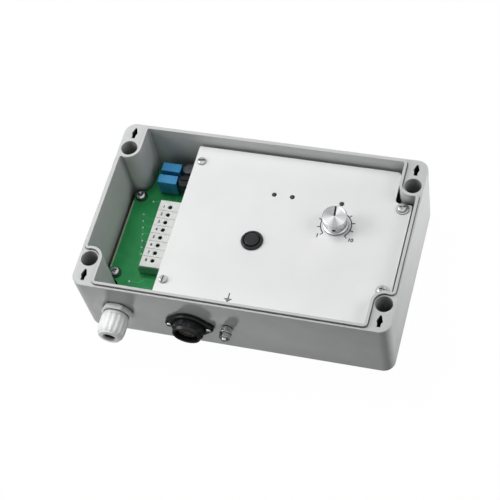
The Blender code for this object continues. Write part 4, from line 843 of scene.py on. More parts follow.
@dataclass
class Enclosure(Assembly):
    """The moulded base with its corner bosses, raised lip, bores, latch holes and posts."""

    corner_radius: float = 0.0095
    bottom_fillet: float = 0.003
    rim_fillet: float = 0.0006
    lip_width: float = 0.0022
    lip_height: float = 0.0020
    groove: float = 0.0005
    inside_fillet: float = 0.0015
    floor_fillet: float = 0.001
    bore_x: float = 0.1207
    bore_y: float = 0.055
    bore_radius: float = 0.007
    bore_foot_radius: float = 0.006
    bore_floor: float = 0.008
    boss_radius: float = 0.0107
    boss_flare: float = 0.0008
    fixing_radius: float = 0.00325
    latch_x: float = 0.1205
    latch_y: float = 0.0702
    latch_length: float = 0.0104
    latch_width: float = 0.005
    latch_stem: float = 0.003
    latch_flank: float = 0.0022
    latch_depth: float = 0.024
    latch_round: float = 0.0003
    post_x: float = 0.115
    post_y: float = 0.0385
    post_top: float = 0.0181
    post_radius: float = 0.0045
    post_foot: float = 0.0015
    pilot_radius: float = 0.002
    pilot_depth: float = 0.011
    gland_hole: float = 0.0081
    connector_hole: float = 0.011
    earth_hole: float = 0.0027
    edge: float = 0.0003

    def skin(self) -> Forge:
        """Outer skin: drafted walls, round corners, a filleted bottom edge.

        Returns:
            The closed outer form.
        """
        levels, fillet = [], self.bottom_fillet
        for step in range(7):
            angle = math.radians(15 * step)
            levels.append((fillet * (1 - math.cos(angle)), fillet * (1 - math.sin(angle))))
        for step in range(4):
            angle = math.radians(30 * step)
            rise = self.rim_fillet * math.sin(angle)
            levels.append((BOX.height - self.rim_fillet + rise, self.rim_fillet * (1 - math.cos(angle))))
        rings = []
        for height, pull in levels:
            inset = pull + BOX.inset(height)
            half_x, half_y = BOX.half_length - inset, BOX.half_width - inset
            sharp = [(half_x, half_y), (-half_x, half_y), (-half_x, -half_y), (half_x, -half_y)]
            outline = softened(sharp, self.corner_radius - pull, 14, closed=True)
            rings.append([(x, y, height) for x, y in outline])
        return Forge().loft(rings)

    def inside(self, height: float, grow: float) -> Ring:
        """Inside outline of the walls at a height, stepping round the bosses.

        Args:
            height: Height above the underside.
            grow: How far the outline is moved outward.

        Returns:
            The ring of points.
        """
        pull = BOX.wall + BOX.inset(height) - grow
        half_x, half_y = BOX.half_length - pull, BOX.half_width - pull
        boss = self.boss_radius + self.boss_flare * (1 - height / BOX.height) - grow
        fillet = self.inside_fillet + grow
        side_x = half_x - fillet
        reach_x = side_x - self.bore_x
        side_y = self.bore_y - math.sqrt((boss + fillet) ** 2 - reach_x**2)
        lean = math.degrees(math.atan2(self.bore_y - side_y, -reach_x))
        land_x = self.bore_x - boss
        quarter = arc((side_x, side_y), fillet, 0, lean, 6)
        quarter += arc((self.bore_x, self.bore_y), boss, lean - 180, -180, 18)
        quarter += arc((land_x - fillet, half_y - fillet), fillet, 0, 90, 6)
        outline = list(quarter)
        outline += [(-x, y) for x, y in reversed(quarter)]
        outline += [(-x, -y) for x, y in quarter]
        outline += [(x, -y) for x, y in reversed(quarter)]
        return [(x, y, height) for x, y in outline]

    def lip(self) -> Forge:
        """The raised lip that the lid's seal closes on, before the inside is cut."""
        levels = (BOX.height - self.lip_height, BOX.height + self.lip_height)
        return Forge().loft([self.inside(height, self.lip_width) for height in levels])

    def lip_groove(self) -> Forge:
        """The narrow groove at the lip's foot, cut before the lip is joined."""
        levels = (BOX.height - self.groove, BOX.height + PAST)
        return Forge().loft([self.inside(height, self.lip_width + self.groove) for height in levels])

    def cavity(self) -> Forge:
        """Form of the inside, from the floor out past the lip.

        Returns:
            The form to cut.
        """
        levels = []
        for step in range(4):
            angle = math.radians(30 * step)
            rise = self.floor_fillet * (1 - math.cos(angle))
            levels.append((BOX.floor + rise, -self.floor_fillet * (1 - math.sin(angle))))
        levels.append((BOX.height + self.lip_height + PAST, 0.0))
        return Forge().loft([self.inside(height, grow) for height, grow in levels])

    def latch_outline(self, x: float, y: float) -> list[Point]:
        """Arrow-shaped hole for the lid's quarter-turn latch.

        Args:
            x: Centre along X.
            y: Centre along Y.

        Returns:
            The outline, its point toward the back.
        """
        stem, wing, half = self.latch_stem / 2, self.latch_width / 2, self.latch_length / 2
        flank = self.latch_flank
        arrow = [
            (-stem, -half), (stem, -half), (stem, -flank), (wing, 0.0),
            (stem / 2, half), (-stem / 2, half), (-wing, 0.0), (-stem, -flank),
        ]
        return [(x + dx, y + dy) for dx, dy in softened(arrow, self.latch_round, 2, closed=True)]

    def corner_cuts(self) -> Forge:
        """The four fixing bores and the four latch holes.

        Returns:
            The form to cut.
        """
        cuts = Forge()
        profile = [
            (0.0, -PAST), (self.fixing_radius, -PAST), (self.fixing_radius, self.bore_floor),
            (self.bore_foot_radius, self.bore_floor), (self.bore_radius, BOX.height),
            (self.bore_radius, BOX.height + PAST), (0.0, BOX.height + PAST),
        ]
        for side_x in (-1, 1):
            for side_y in (-1, 1):
                cuts.turned(profile, 48, (side_x * self.bore_x, side_y * self.bore_y))
                outline = self.latch_outline(side_x * self.latch_x, side_y * self.latch_y)
                cuts.prism(outline, BOX.height - self.latch_depth, BOX.height + PAST)
        return cuts

    def posts(self) -> tuple[Forge, Forge]:
        """The board posts and the pilot holes in them.

        Returns:
            The form to join and the form to cut.
        """
        posts, pilots = Forge(), Forge()
        radius, foot, buried = self.post_radius, self.post_radius + self.post_foot, BOX.floor / 2
        profile = [
            (0.0, buried), (foot, buried), (foot, BOX.floor), (radius, BOX.floor + self.post_foot),
            (radius, self.post_top), (0.0, self.post_top),
        ]
        floor, top = self.post_top - self.pilot_depth, self.post_top + PAST
        for side_x in (-1, 1):
            for side_y in (-1, 1):
                centre = (side_x * self.post_x, side_y * self.post_y)
                posts.turned(profile, 32, centre)
                pilots.rod(self.pilot_radius, floor, top, 20, centre)
        return posts, pilots

    def wall_cuts(self) -> Forge:
        """Holes in the front wall for the gland, the connector and the earth stud.

        Returns:
            The form to cut.
        """
        cuts = Forge()
        seats = (GLAND_SEAT, CONNECTOR_SEAT, EARTH_SEAT)
        for seat, radius in zip(seats, (self.gland_hole, self.connector_hole, self.earth_hole)):
            cuts.copied(Forge().rod(radius, -BOX.wall - PAST, PAST, 40).mesh("rod"), seat)
        return cuts

    def build(self) -> None:
        """Make the base."""
        posts, pilots = self.posts()
        steps = [
            (Op.CUT, self.lip_groove()), (Op.JOIN, self.lip()), (Op.CUT, self.cavity()), (Op.JOIN, posts),
            (Op.CUT, self.corner_cuts()), (Op.CUT, pilots), (Op.CUT, self.wall_cuts()),
        ]
        base = self.skin().piece("box_base", FINISH.box, steps=steps, edge=self.edge)
        self.show(base, "box_grey", "enclosure_base")


GLAND_SEAT = BOX.seat(-0.096, 0.0345)
CONNECTOR_SEAT = BOX.seat(-0.035, 0.032)
EARTH_SEAT = BOX.seat(-0.0035, 0.034)


class Fitting:
    """A small turned part whose seat is at height zero."""

    def form(self) -> Forge:
        """The turned form."""
        raise NotImplementedError

    def cuts(self) -> list[tuple[Op, Forge]]:
        """What is cut from it."""
        return []

    def piece(self, name: str, finish: Finish, matrix: Matrix) -> Thing:
        """The part as an object."""
        return self.form().piece(name, finish, matrix, self.cuts())


@dataclass
class Screw(Fitting):
    """A domed pan-head screw."""

    head: float
    height: float
    shank: float
    length: float
    drive: Drive = Drive.CROSS
    slot: float = 0.0014
    floor_share: float = 0.4
    arm_foot: float = 0.3
    arm_mouth: float = 0.62
    rim_share: float = 0.3

    def recess(self) -> Forge:
        """The cross or slot, narrower at its floor.

        Returns:
            The form to cut.
        """
        radius = self.head / 2
        floor, top = self.height * self.floor_share, self.height + PAST
        half = self.slot / 2
        if self.drive is Drive.SLOT:
            return Forge().box((-radius * 1.2, -half, floor), (radius * 1.2, half, top))
        rings = []
        foot, mouth = radius * self.arm_foot, radius * self.arm_mouth
        for reach, height in ((foot, floor), (mouth, top - PAST), (mouth, top)):
            arms = []
            for turn in range(4):
                spin = Matrix.Rotation(turn * math.pi / 2, 2)
                for corner in ((reach, -half), (reach, half), (half, half)):
                    arms.append(tuple(spin @ Vector(corner)))
            rings.append([(x, y, height) for x, y in arms])
        return Forge().loft(rings)

    def cuts(self) -> list[tuple[Op, Forge]]:
        """The recess in its head."""
        return [(Op.CUT, self.recess())]

    def form(self) -> Forge:
        """Shank and domed head.

        Returns:
            The turned form.
        """
        radius, shank, low = self.head / 2, self.shank / 2, -self.length
        profile = [(0.0, low), (shank * 0.7, low), (shank, low + shank * 0.5), (shank, 0.0)]
        profile += [(radius * 0.96, 0.0), (radius, self.height * 0.08)]
        for step in range(9):
            angle = math.radians(90 * step / 8)
            reach = radius * math.cos(angle) ** 0.55 if step < 8 else 0.0
            dome = self.rim_share + (1 - self.rim_share) * math.sin(angle) ** 0.9
            profile.append((reach, self.height * dome))
        return Forge().turned(profile, 40)


@dataclass
class Washer(Fitting):
    """A flat washer with broken edges."""

    outer: float
    inner: float
    thickness: float
    edge: float = 0.00015

    def form(self) -> Forge:
        """A flat ring with its edges broken."""
        ring = rectangle((self.inner / 2, 0.0), (self.outer / 2, self.thickness))
        return Forge().turned(softened(ring, self.edge, 2, closed=True), 48)


@dataclass
class Nut(Fitting):
    """A hexagon nut with turned chamfers."""

    flats: float
    hole: float
    height: float
    chamfer: float = 0.0005

    def form(self) -> Forge:
        """The hexagon with its turned chamfers and its plain hole.

        Returns:
            The turned form.
        """
        flat, hole, cut = self.flats / 2, self.hole / 2, self.chamfer
        outer = hexagon(self.flats)

        def rounded(height: float) -> Callable[[float], float]:
            """Radius where the turned chamfer meets the flats at a height."""
            cone = flat + (min(height, self.height - height)) * 1.9
            return lambda angle: min(outer(angle), cone)

        high, face = self.height, flat * 0.985
        profile: Profile = [(hole + cut / 2, 0.0), (face, 0.0)]
        for height in (0.0001, cut * 0.6, cut * 1.2, high - cut * 1.2, high - cut * 0.6, high - 0.0001):
            profile.append((rounded(height), height))
        profile += [(face, high), (hole + cut / 2, high), (hole, high - cut / 2), (hole, cut / 2)]
        return Forge().turned(profile, 72)


@dataclass
class CoverPanel(Assembly):
    """The white aluminium panel with its print, screws and washers."""

    left: float = -0.0652
    right: float = 0.1223
    half_width: float = 0.0731
    notch_x: float = 0.1078
    notch_y: float = 0.0433
    corner: float = 0.0015
    notch_radius: float = 0.004
    screw_hole: float = 0.002
    led_hole: float = 0.002
    shaft_hole: float = 0.005
    button_hole: float = 0.0081
    edge: float = 0.00018
    scale_radius: float = 0.0125
    scale_line: float = 0.0008
    scale_sweep: float = 135.0
    scale_marks: int = 10
    mark_length: float = 0.0029
    numeral_size: float = 0.0046
    numerals: tuple[tuple[str, Point], ...] = (("1", (0.0530, 0.0031)), ("10", (0.0803, 0.0028)))
    print_height: float = 0.00003
    earth_mark: Point = (-0.0028, -0.0662)
    earth_stem: float = 0.0055
    earth_bars: tuple[float, ...] = (0.0030, 0.0019, 0.0008)
    earth_pitch: float = 0.0011
    screw_turns: Point = (1.45, 0.15)
    washer_rise: float = 0.0011

    def outline(self) -> list[Point]:
        """Outline of the panel with its two notches.

        Returns:
            The points, counter-clockwise.
        """
        wide, soft, inner = self.half_width, self.corner, self.notch_radius
        x, y = self.notch_x, self.notch_y
        corners = [
            (self.left, -wide), (x, -wide), (x, -y), (self.right, -y), (self.right, y), (x, y), (x, wide),
            (self.left, wide),
        ]
        return softened(corners, (soft, inner, inner, soft, soft, inner, inner, soft), 8, closed=True)

    def holes(self) -> Forge:
        """Every hole in the panel.

        Returns:
            The form to cut.
        """
        cuts = Forge()
        low, high = BOX.panel_bottom - PAST, BOX.panel_top + PAST
        spots = [("potentiometer_nut", self.shaft_hole), ("test_button_cap", self.button_hole)]
        spots += [(f"led_{word}", self.led_hole) for word in LED_WORDS]
        spots += [(f"panel_screw_{end}_{side}", self.screw_hole) for end in ENDS for side in SIDES]
        for node, radius in spots:
            centre = standing_on(node).translation
            cuts.rod(radius, low, high, 32, (centre.x, centre.y))
        return cuts

    def scale(self) -> Thing:
        """The knob's printed scale: an arc, ticks and the numbers at its two ends.

        Returns:
            The print as one thin piece.
        """
        axis = standing_on("potentiometer_nut").translation
        base, top = BOX.panel_top - self.print_height, BOX.panel_top + self.print_height
        inner, outer = self.scale_radius - self.scale_line / 2, self.scale_radius + self.scale_line / 2
        start, end = 90 - self.scale_sweep, 90 + self.scale_sweep
        band = arc((axis.x, axis.y), outer, start, end, 64) + arc((axis.x, axis.y), inner, end, start, 64)
        printed = Forge().prism(band, base, top)
        for mark in range(self.scale_marks):
            angle = math.radians(start + (end - start) * mark / (self.scale_marks - 1))
            along = Vector((math.cos(angle), math.sin(angle)))
            across = Vector((-along.y, along.x))
            centre = axis.xy
            ends = (self.scale_radius, self.scale_radius + self.mark_length)
            half = across * self.scale_line / 2
            tick = [centre + along * ends[0] - half, centre + along * ends[1] - half]
            tick += [centre + along * ends[1] + half, centre + along * ends[0] + half]
            printed.prism([tuple(point) for point in tick], base, top)
        for words, (x, y) in self.numerals:
            spot = (x, y, BOX.panel_top)
            printed.copied(*printed_words(words, self.numeral_size, spot, self.print_height))
        return printed.piece("scale_print", FINISH.ink)

    def earth_print(self) -> Thing:
        """The plain earth symbol in front of the earth stud.

        Returns:
            The print as one thin piece.
        """
        x, y = self.earth_mark
        base, top = BOX.panel_top - self.print_height, BOX.panel_top + self.print_height
        line = self.scale_line
        printed = Forge().box((x - line / 2, y, base), (x + line / 2, y + self.earth_stem, top))
        for index, half in enumerate(self.earth_bars):
            level = y - index * self.earth_pitch
            printed.box((x - half, level - line / 2, base), (x + half, level + line / 2, top))
        return printed.piece("earth_print", FINISH.ink)

    def build(self) -> None:
        """Make the panel, its print, its screws and their washers."""
        panel = Forge().prism(self.outline(), BOX.panel_bottom, BOX.panel_top)
        sheet = panel.piece("panel_sheet", FINISH.panel, steps=[(Op.CUT, self.holes())], edge=self.edge)
        self.show(sheet, "panel_white", "cover_panel")
        self.show(self.scale(), "panel_white")
        self.show(self.earth_print(), "panel_white")
        slotted = Screw(head=0.007, height=0.0022, shank=0.0034, length=0.009, drive=Drive.SLOT)
        crossed = Screw(head=0.0078, height=0.0024, shank=0.0034, length=0.009)
        washer = Washer(outer=0.0105, inner=0.004, thickness=0.0008)
        seat = BOX.panel_top + TOUCH_GAP
        for side, turn in zip(SIDES, self.screw_turns):
            for end, screw, level in (("left", slotted, seat), ("right", crossed, seat + self.washer_rise)):
                node = f"panel_screw_{end}_{side}"
                place = standing_on(node, turn)
                place.translation.z = level
                self.show(screw.piece(f"{node}_head", FINISH.zinc, place), "zinc_steel", node)
            node = f"panel_washer_right_{side}"
            self.show(washer.piece(f"{node}_ring", FINISH.zinc, standing_on(node)), "zinc_steel", node)


def printed_words(words: str, size: float, spot: Spot, thickness: float) -> tuple[Mesh, Matrix]:
    """Plain numerals as a thin solid.

    Args:
        words: The numerals.
        size: Their height.
        spot: Their middle.
        thickness: Half of the print's thickness.

    Returns:
        The mesh and where it goes.
    """
    curve = bpy.data.curves.new("numerals", "FONT")
    curve.body = words
    curve.size = size
    curve.align_x = "CENTER"
    curve.align_y = "CENTER"
    curve.extrude = thickness
    curve.offset = size * NUMERAL_WEIGHT
    curve.resolution_u = NUMERAL_STEPS
    thing = bpy.data.objects.new("numerals", curve)
    bpy.context.collection.objects.link(thing)
    bpy.context.view_layer.update()
    graph = bpy.context.evaluated_depsgraph_get()
    mesh = bpy.data.meshes.new_from_object(thing.evaluated_get(graph))
    bpy.data.objects.remove(thing, do_unlink=True)
    return mesh, Matrix.Translation(spot)


@dataclass
class MainBoard(Assembly):
    """The main board with its tracks and pads, its screws and the panel spacers."""

    margin: float = 0.0013
    margin_half: float = 0.0335
    track_width: float = 0.0009
    film: float = 0.00003
    terminal_tracks: int = 7
    track_start: Point = (-0.0915, -0.0277)
    track_pitch: float = 0.00762
    track_left: float = -0.0985
    track_spread: float = 0.0016
    track_run: float = 0.0105
    track_fall: float = 0.0012
    bend: float = 0.0016
    bend_growth: float = 0.0005
    small_pad: float = 0.0008
    pad: float = 0.001
    pad_rise: float = 0.00028
    pad_shoulder: float = 0.00022
    routes: tuple[tuple[Point, ...], ...] = (
        ((-0.0906, 0.0425), (-0.0906, 0.0385), (-0.0935, 0.0355), (-0.1035, 0.0355)),
        ((-0.0840, 0.0425), (-0.0840, 0.0375), (-0.0700, 0.0375)),
        ((-0.0720, -0.0400), (-0.0880, -0.0400), (-0.0925, -0.0445), (-0.1010, -0.0445)),
        ((-0.0720, -0.0480), (-0.0860, -0.0480), (-0.0900, -0.0520), (-0.0985, -0.0520)),
        ((-0.0700, -0.0580), (-0.0930, -0.0580)),
    )
    screw_turn: float = 0.6
    washer_rise: float = 0.0011

    def terminal_route(self, index: int) -> list[Point]:
        """Route of a track that leaves the terminals and bends once.

        Args:
            index: Number of the track, from the front.

        Returns:
            Points of its middle line; a pad stands on the last one.
        """
        y = self.track_start[1] + index * self.track_pitch
        bend = self.bend + self.bend_growth * index
        left = self.track_left - self.track_spread * index
        end = (left, y + self.track_run - self.track_fall * index)
        return [(self.track_start[0], y), (left + bend, y), (left, y + bend), end]

    def tracks(self) -> Thing:
        """Masked copper tracks that run with bends from the terminals.

        Returns:
            The tracks as one thin piece.
        """
        base, top = BOX.board_top - self.film, BOX.board_top + self.film
        copper = Forge()
        for route in (*map(self.terminal_route, range(self.terminal_tracks)), *self.routes):
            self._run(copper, route, base, top)
        return copper.piece("board_tracks", FINISH.track)

    def _run(self, copper: Forge, route: Sequence[Point], base: float, top: float) -> None:
        """Add one track of even width along a route.

        Args:
            copper: Forge that collects the tracks.
            route: Points of its middle line.
            base: Its lower height.
            top: Its upper height.
        """
        half = self.track_width / 2
        near, far = [], []
        for index, point in enumerate(route):
            here = Vector(point)
            back = (here - Vector(route[index - 1])).normalized() if index else None
            ahead = (Vector(route[index + 1]) - here).normalized() if index < len(route) - 1 else None
            along = ((back or ahead) + (ahead or back)).normalized()
            lean = along.dot(ahead or back)
            side = Vector((-along.y, along.x)) * half / lean
            near.append(tuple(here + side))
            far.append(tuple(here - side))
        copper.prism(near + far[::-1], base, top)

    def pads(self) -> Thing:
        """Tinned pads and vias at the ends of the tracks.

        Returns:
            The pads as one piece.
        """
        spots = [(*self.terminal_route(index)[-1], self.small_pad) for index in range(self.terminal_tracks)]
        spots += [(*route[-1], self.pad) for route in (self.routes[0], *self.routes[2:])]
        tin = Forge()
        for x, y, radius in spots:
            level = BOX.board_top
            dome = [(0.0, level - self.film), (radius, level - self.film), (radius, level + self.film)]
            dome += [(radius * 0.6, level + self.pad_shoulder), (0.0, level + self.pad_rise)]
            tin.turned(dome, 20, (x, y))
        return tin.piece("board_pads", FINISH.solder)

    def build(self) -> None:
        """Make the board, its copper, its screws and dress the spacers."""
        low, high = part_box("main_board")
        self.dress("main_board", "board_green", FINISH.board)
        self.show(self.tracks(), "board_green")
        self.show(self.pads(), "zinc_steel")
        half, base, top = self.margin_half, high.z - self.film, high.z + self.film
        strip = Forge().box((low.x, -half, base), (low.x + self.margin, half, top))
        self.show(strip.piece("board_margin", FINISH.laminate), "board_green")
        washer = Washer(outer=0.0106, inner=0.004, thickness=0.0008)
        screw = Screw(head=0.0084, height=0.0028, shank=0.0034, length=0.009)
        for side in SIDES:
            node = f"board_washer_{side}"
            self.show(washer.piece(f"{node}_ring", FINISH.dark, standing_on(node)), "dark_steel", node)
            node = f"board_screw_{side}"
            place = standing_on(node, self.screw_turn)
            place.translation.z = BOX.board_seat + self.washer_rise
            self.show(screw.piece(f"{node}_head", FINISH.zinc, place), "zinc_steel", node)
            for end in ENDS:
                self.dress(f"panel_spacer_{end}_{side}", "zinc_steel", FINISH.zinc)


@dataclass
class TerminalStrip(Assembly):
    """The screw terminal block with its marking plate and clamp screws."""

    count: int = 8
    pitch: float = 0.00762
    left: float = -0.0945
    depth: float = 0.0205
    centre_y: float = -0.0018
    length: float = 0.06636
    height: float = 0.0098
    step_depth: float = 0.0015
    step_height: float = 0.0062
    screw_line: float = 0.0118
    well_radius: float = 0.0024
    well_depth: float = 0.0045
    plate_thickness: float = 0.0012
    plate_margin: float = 0.0004
    plate_hole: float = 0.0018
    plate_round: float = 0.0006
    groove: float = 0.0004
    groove_reach: float = 0.002
    groove_foot: float = 0.001
    entry_half: float = 0.0018
    entry_depth: float = 0.007
    entry_span: Point = (0.0014, 0.0048)
    edge: float = 0.00012
    film: float = 0.00003
    print_margin: float = 0.0009
    print_half: float = 0.0001
    number_line: float = 0.0062
    number_size: float = 0.0036
    tick_spot: Point = (0.0105, 0.0107)
    tick_half: float = 0.0022
    clamp_drop: float = 0.0025
    clamp_turn: float = 0.5

    def places(self) -> list[float]:
        """Where the poles stand along Y."""
        return [self.centre_y + (index - (self.count - 1) / 2) * self.pitch for index in range(self.count)]

    def block(self) -> Thing:
        """The block with a groove between the poles, wells and wire entries.

        Returns:
            The object.
        """
        base, top = BOX.board_seat, BOX.board_seat + self.height
        right, half = self.left + self.depth, self.length / 2
        side = [
            (self.left, base), (right, base), (right, top),
            (self.left + self.step_depth, top), (self.left, base + self.step_height),
        ]
        faces = (self.centre_y - half, self.centre_y + half)
        body = Forge().loft([[(x, y, z) for x, z in side] for y in faces])
        wells, entries, grooves = Forge(), Forge(), Forge()
        for y in self.places():
            spot = (self.left + self.screw_line, y)
            wells.rod(self.well_radius, top - self.well_depth, top + PAST, 24, spot)
            entries.box(
                (self.left - PAST, y - self.entry_half, base + self.entry_span[0]),
                (self.left + self.entry_depth, y + self.entry_half, base + self.entry_span[1]),
            )
        for y in self.places()[1:]:
            middle = y - self.pitch / 2
            grooves.box(
                (self.left - PAST, middle - self.groove / 2, base + self.groove_foot),
                (self.left + self.groove_reach, middle + self.groove / 2, top + PAST),
            )
        steps = [(Op.CUT, grooves), (Op.CUT, wells), (Op.CUT, entries)]
        return body.piece("terminal_body", FINISH.terminal, steps=steps, edge=self.edge)

    def plate(self) -> Thing:
        """The white marking plate with a hole over each screw.

        Returns:
            The object.
        """
        low = BOX.board_seat + self.height + TOUCH_GAP
        high, half = low + self.plate_thickness, self.length / 2 - self.plate_margin
        left = self.left + self.step_depth + self.plate_margin
        right = self.left + self.depth - self.plate_margin
        sharp = rectangle((left, self.centre_y - half), (right, self.centre_y + half))
        holes = Forge()
        for y in self.places():
            holes.rod(self.plate_hole, low - PAST, high + PAST, 24, (self.left + self.screw_line, y))
        body = Forge().prism(softened(sharp, self.plate_round, 3, closed=True), low, high)
        return body.piece("marking_plate", FINISH.plate, steps=[(Op.CUT, holes)], edge=self.edge)

    def numbers(self) -> Thing:
        """Pole numbers and dividing lines printed on the plate.

        Returns:
            The print as one thin piece.
        """
        top = BOX.board_seat + self.height + TOUCH_GAP + self.plate_thickness
        left = self.left + self.step_depth + self.print_margin
        right = self.left + self.depth - self.print_margin
        low, high = top - self.film, top + self.film
        near, far = (left + reach for reach in self.tick_spot)
        printed = Forge()
        for index, y in enumerate(reversed(self.places()), 1):
            spot = (self.left + self.number_line, y, top)
            printed.copied(*printed_words(str(index), self.number_size, spot, self.film))
            if index < self.count:
                line = y - self.pitch / 2
                printed.box((left, line - self.print_half, low), (right, line + self.print_half, high))
                printed.box((near, y - self.tick_half, low), (far, y + self.tick_half, high))
        return printed.piece("plate_numbers", FINISH.ink)

    def build(self) -> None:
        """Make the block, the plate, its numbers and the clamp screws."""
        self.show(self.block(), "terminal_green", "terminal_block")
        self.show(self.plate(), "plate_white", "terminal_plate")
        self.show(self.numbers(), "plate_white")
        seat = BOX.board_seat + self.height - self.clamp_drop
        clamp = Screw(head=0.0038, height=0.0022, shank=0.0023, length=0.0017, drive=Drive.SLOT, slot=0.0007)
        for index, y in enumerate(self.places(), 1):
            spin = Matrix.Rotation(self.clamp_turn * index, 4, "Z")
            place = Matrix.Translation((self.left + self.screw_line, y, seat)) @ spin
            screw = clamp.piece(f"clamp_screw_{index}", FINISH.dark, place)
            self.show(screw, "zinc_steel", f"terminal_screw_{index}")


@dataclass
class BoardComponents(Assembly):
    """Capacitors, fuse holder, can, transformer, relay and header on the main board."""

    edge: float = 0.0006
    foot_rise: float = 0.0013
    foot_width: float = 0.002
    fuse_radius: float = 0.0059
    fuse_height: float = 0.0125
    fuse_bore: float = 0.0033
    fuse_depth: float = 0.009
    fuse_round: float = 0.0003
    cap_height: float = 0.0062
    cap_plug: float = 0.0055
    cap_round: float = 0.0006
    cap_slot: Point = (0.00055, 0.0022)
    slot_edge: float = 0.0001
    can_radius: float = 0.005
    can_height: float = 0.018
    can_round: float = 0.0003
    can_edge: float = 0.0006
    bead_depth: float = 0.0007
    bead_levels: Spot = (0.0022, 0.0030, 0.0038)
    crimp: float = 0.0012
    crimp_slope: float = 0.0003
    lid_levels: Spot = (0.0008, 0.00025, 0.0002)
    score_turn: float = 0.4
    score_reach: float = 0.003
    score_half: float = 0.0001
    score_depth: float = 0.0005
    transformer_edge: float = 0.0012
    relay_edge: float = 0.0009

    def capacitor(self, node: str) -> Thing:
        """A blue box capacitor on four small feet.

        Args:
            node: CAD node that gives its size and place.

        Returns:
            The object.
        """
        low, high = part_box(node)
        foot, width = self.foot_rise, self.foot_width
        body = Forge().box((low.x, low.y, low.z + foot), tuple(high))
        feet = Forge()
        for x in (low.x + foot, high.x - foot - width):
            for y in (low.y + foot, high.y - foot - width):
                feet.box((x, y, low.z), (x + width, y + width, low.z + 2 * foot))
        return body.piece(f"{node}_case", FINISH.blue, steps=[(Op.JOIN, feet)], edge=self.edge)

    def fuse(self) -> None:
        """The upright fuse holder and its slotted cap."""
        radius, top, bore = self.fuse_radius, self.fuse_height, self.fuse_bore
        floor = top - self.fuse_depth
        body = [(0.0, 0.0), (radius, 0.0), (radius, top), (bore, top), (bore, floor), (0.0, floor)]
        holder = Forge().turned(softened(body, self.fuse_round), 48)
        stand = holder.piece("fuse_holder_body", FINISH.black, standing_on("fuse_holder"))
        self.show(stand, "moulded_black", "fuse_holder")
        plug, high, low = bore - TOUCH_GAP, self.cap_height, -self.cap_plug
        corners = [(0.0, low), (plug, low), (plug, 0.0), (radius, 0.0), (radius, high), (0.0, high)]
        profile = softened(corners, self.cap_round, 4)
        half, depth = self.cap_slot
        reach = radius * 0.75
        slot = Forge().box((-reach, -half, high - depth), (reach, half, high + PAST))
        place = standing_on("fuse_cap")
        place.translation.z += self.cap_plug
        form = Forge().turned(profile, 48)
        cap = form.piece("fuse_cap_body", FINISH.black, place, [(Op.CUT, slot)], self.slot_edge)
        self.show(cap, "moulded_black", "fuse_cap")

    def can(self) -> None:
        """The electrolytic can: a sleeve with a bead, and a bare scored top."""
        radius, high, edge, crimp = self.can_radius, self.can_height, self.can_edge, self.crimp
        start, middle, end = self.bead_levels
        sleeve = [
            (0.0, 0.0), (radius - edge, 0.0), (radius, edge), (radius, start),
            (radius - self.bead_depth, middle), (radius, end), (radius, high - self.crimp_slope),
            (radius - crimp, high), (radius - crimp, high - edge), (0.0, high - edge),
        ]
        place = standing_on("electrolytic_capacitor")
        body = Forge().turned(softened(sleeve, self.can_round), 40).piece("can_sleeve", FINISH.sleeve, place)
        self.show(body, "sleeve_grey", "electrolytic_capacitor")
        reach = radius - 0.0013
        base, rim, crest = (high - drop for drop in self.lid_levels)
        lid = [(0.0, base), (reach, base), (reach, rim), (0.0, crest)]
        half, floor = self.score_half, high - self.score_depth
        scores = []
        for turn in (self.score_turn, self.score_turn + math.pi / 2):
            score = Forge().box((-self.score_reach, -half, floor), (self.score_reach, half, high + PAST))
            scores.append((Op.CUT, score.moved(Matrix.Rotation(turn, 4, "Z"))))
        top = Forge().turned(lid, 40).piece("can_top", FINISH.can, place, scores)
        self.show(top, "sleeve_grey")

    def block(self, node: str, slot: str, finish: Finish, edge: float) -> None:
        """A moulded block with rounded edges in place of a CAD block.

        Args:
            node: CAD node that gives its size and place.
            slot: The record's material slot.
            finish: Its finish.
            edge: Width of its rounded edges.
        """
        low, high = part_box(node)
        body = Forge().box(tuple(low), tuple(high)).piece(f"{node}_block", finish, edge=edge)
        self.show(body, slot, node)

    def build(self) -> None:
        """Make every component that stands on the board."""
        for side in ("back", "front"):
            node = f"filter_capacitor_{side}"
            self.show(self.capacitor(node), "capacitor_blue", node)
        self.fuse()
        self.can()
        self.block("supply_transformer", "moulded_black", FINISH.black, self.transformer_edge)
        self.block("output_relay", "relay_grey", FINISH.relay, self.relay_edge)
        self.dress("board_link_header", "moulded_black", FINISH.black)
        self.dress("control_board", "board_green", FINISH.board)


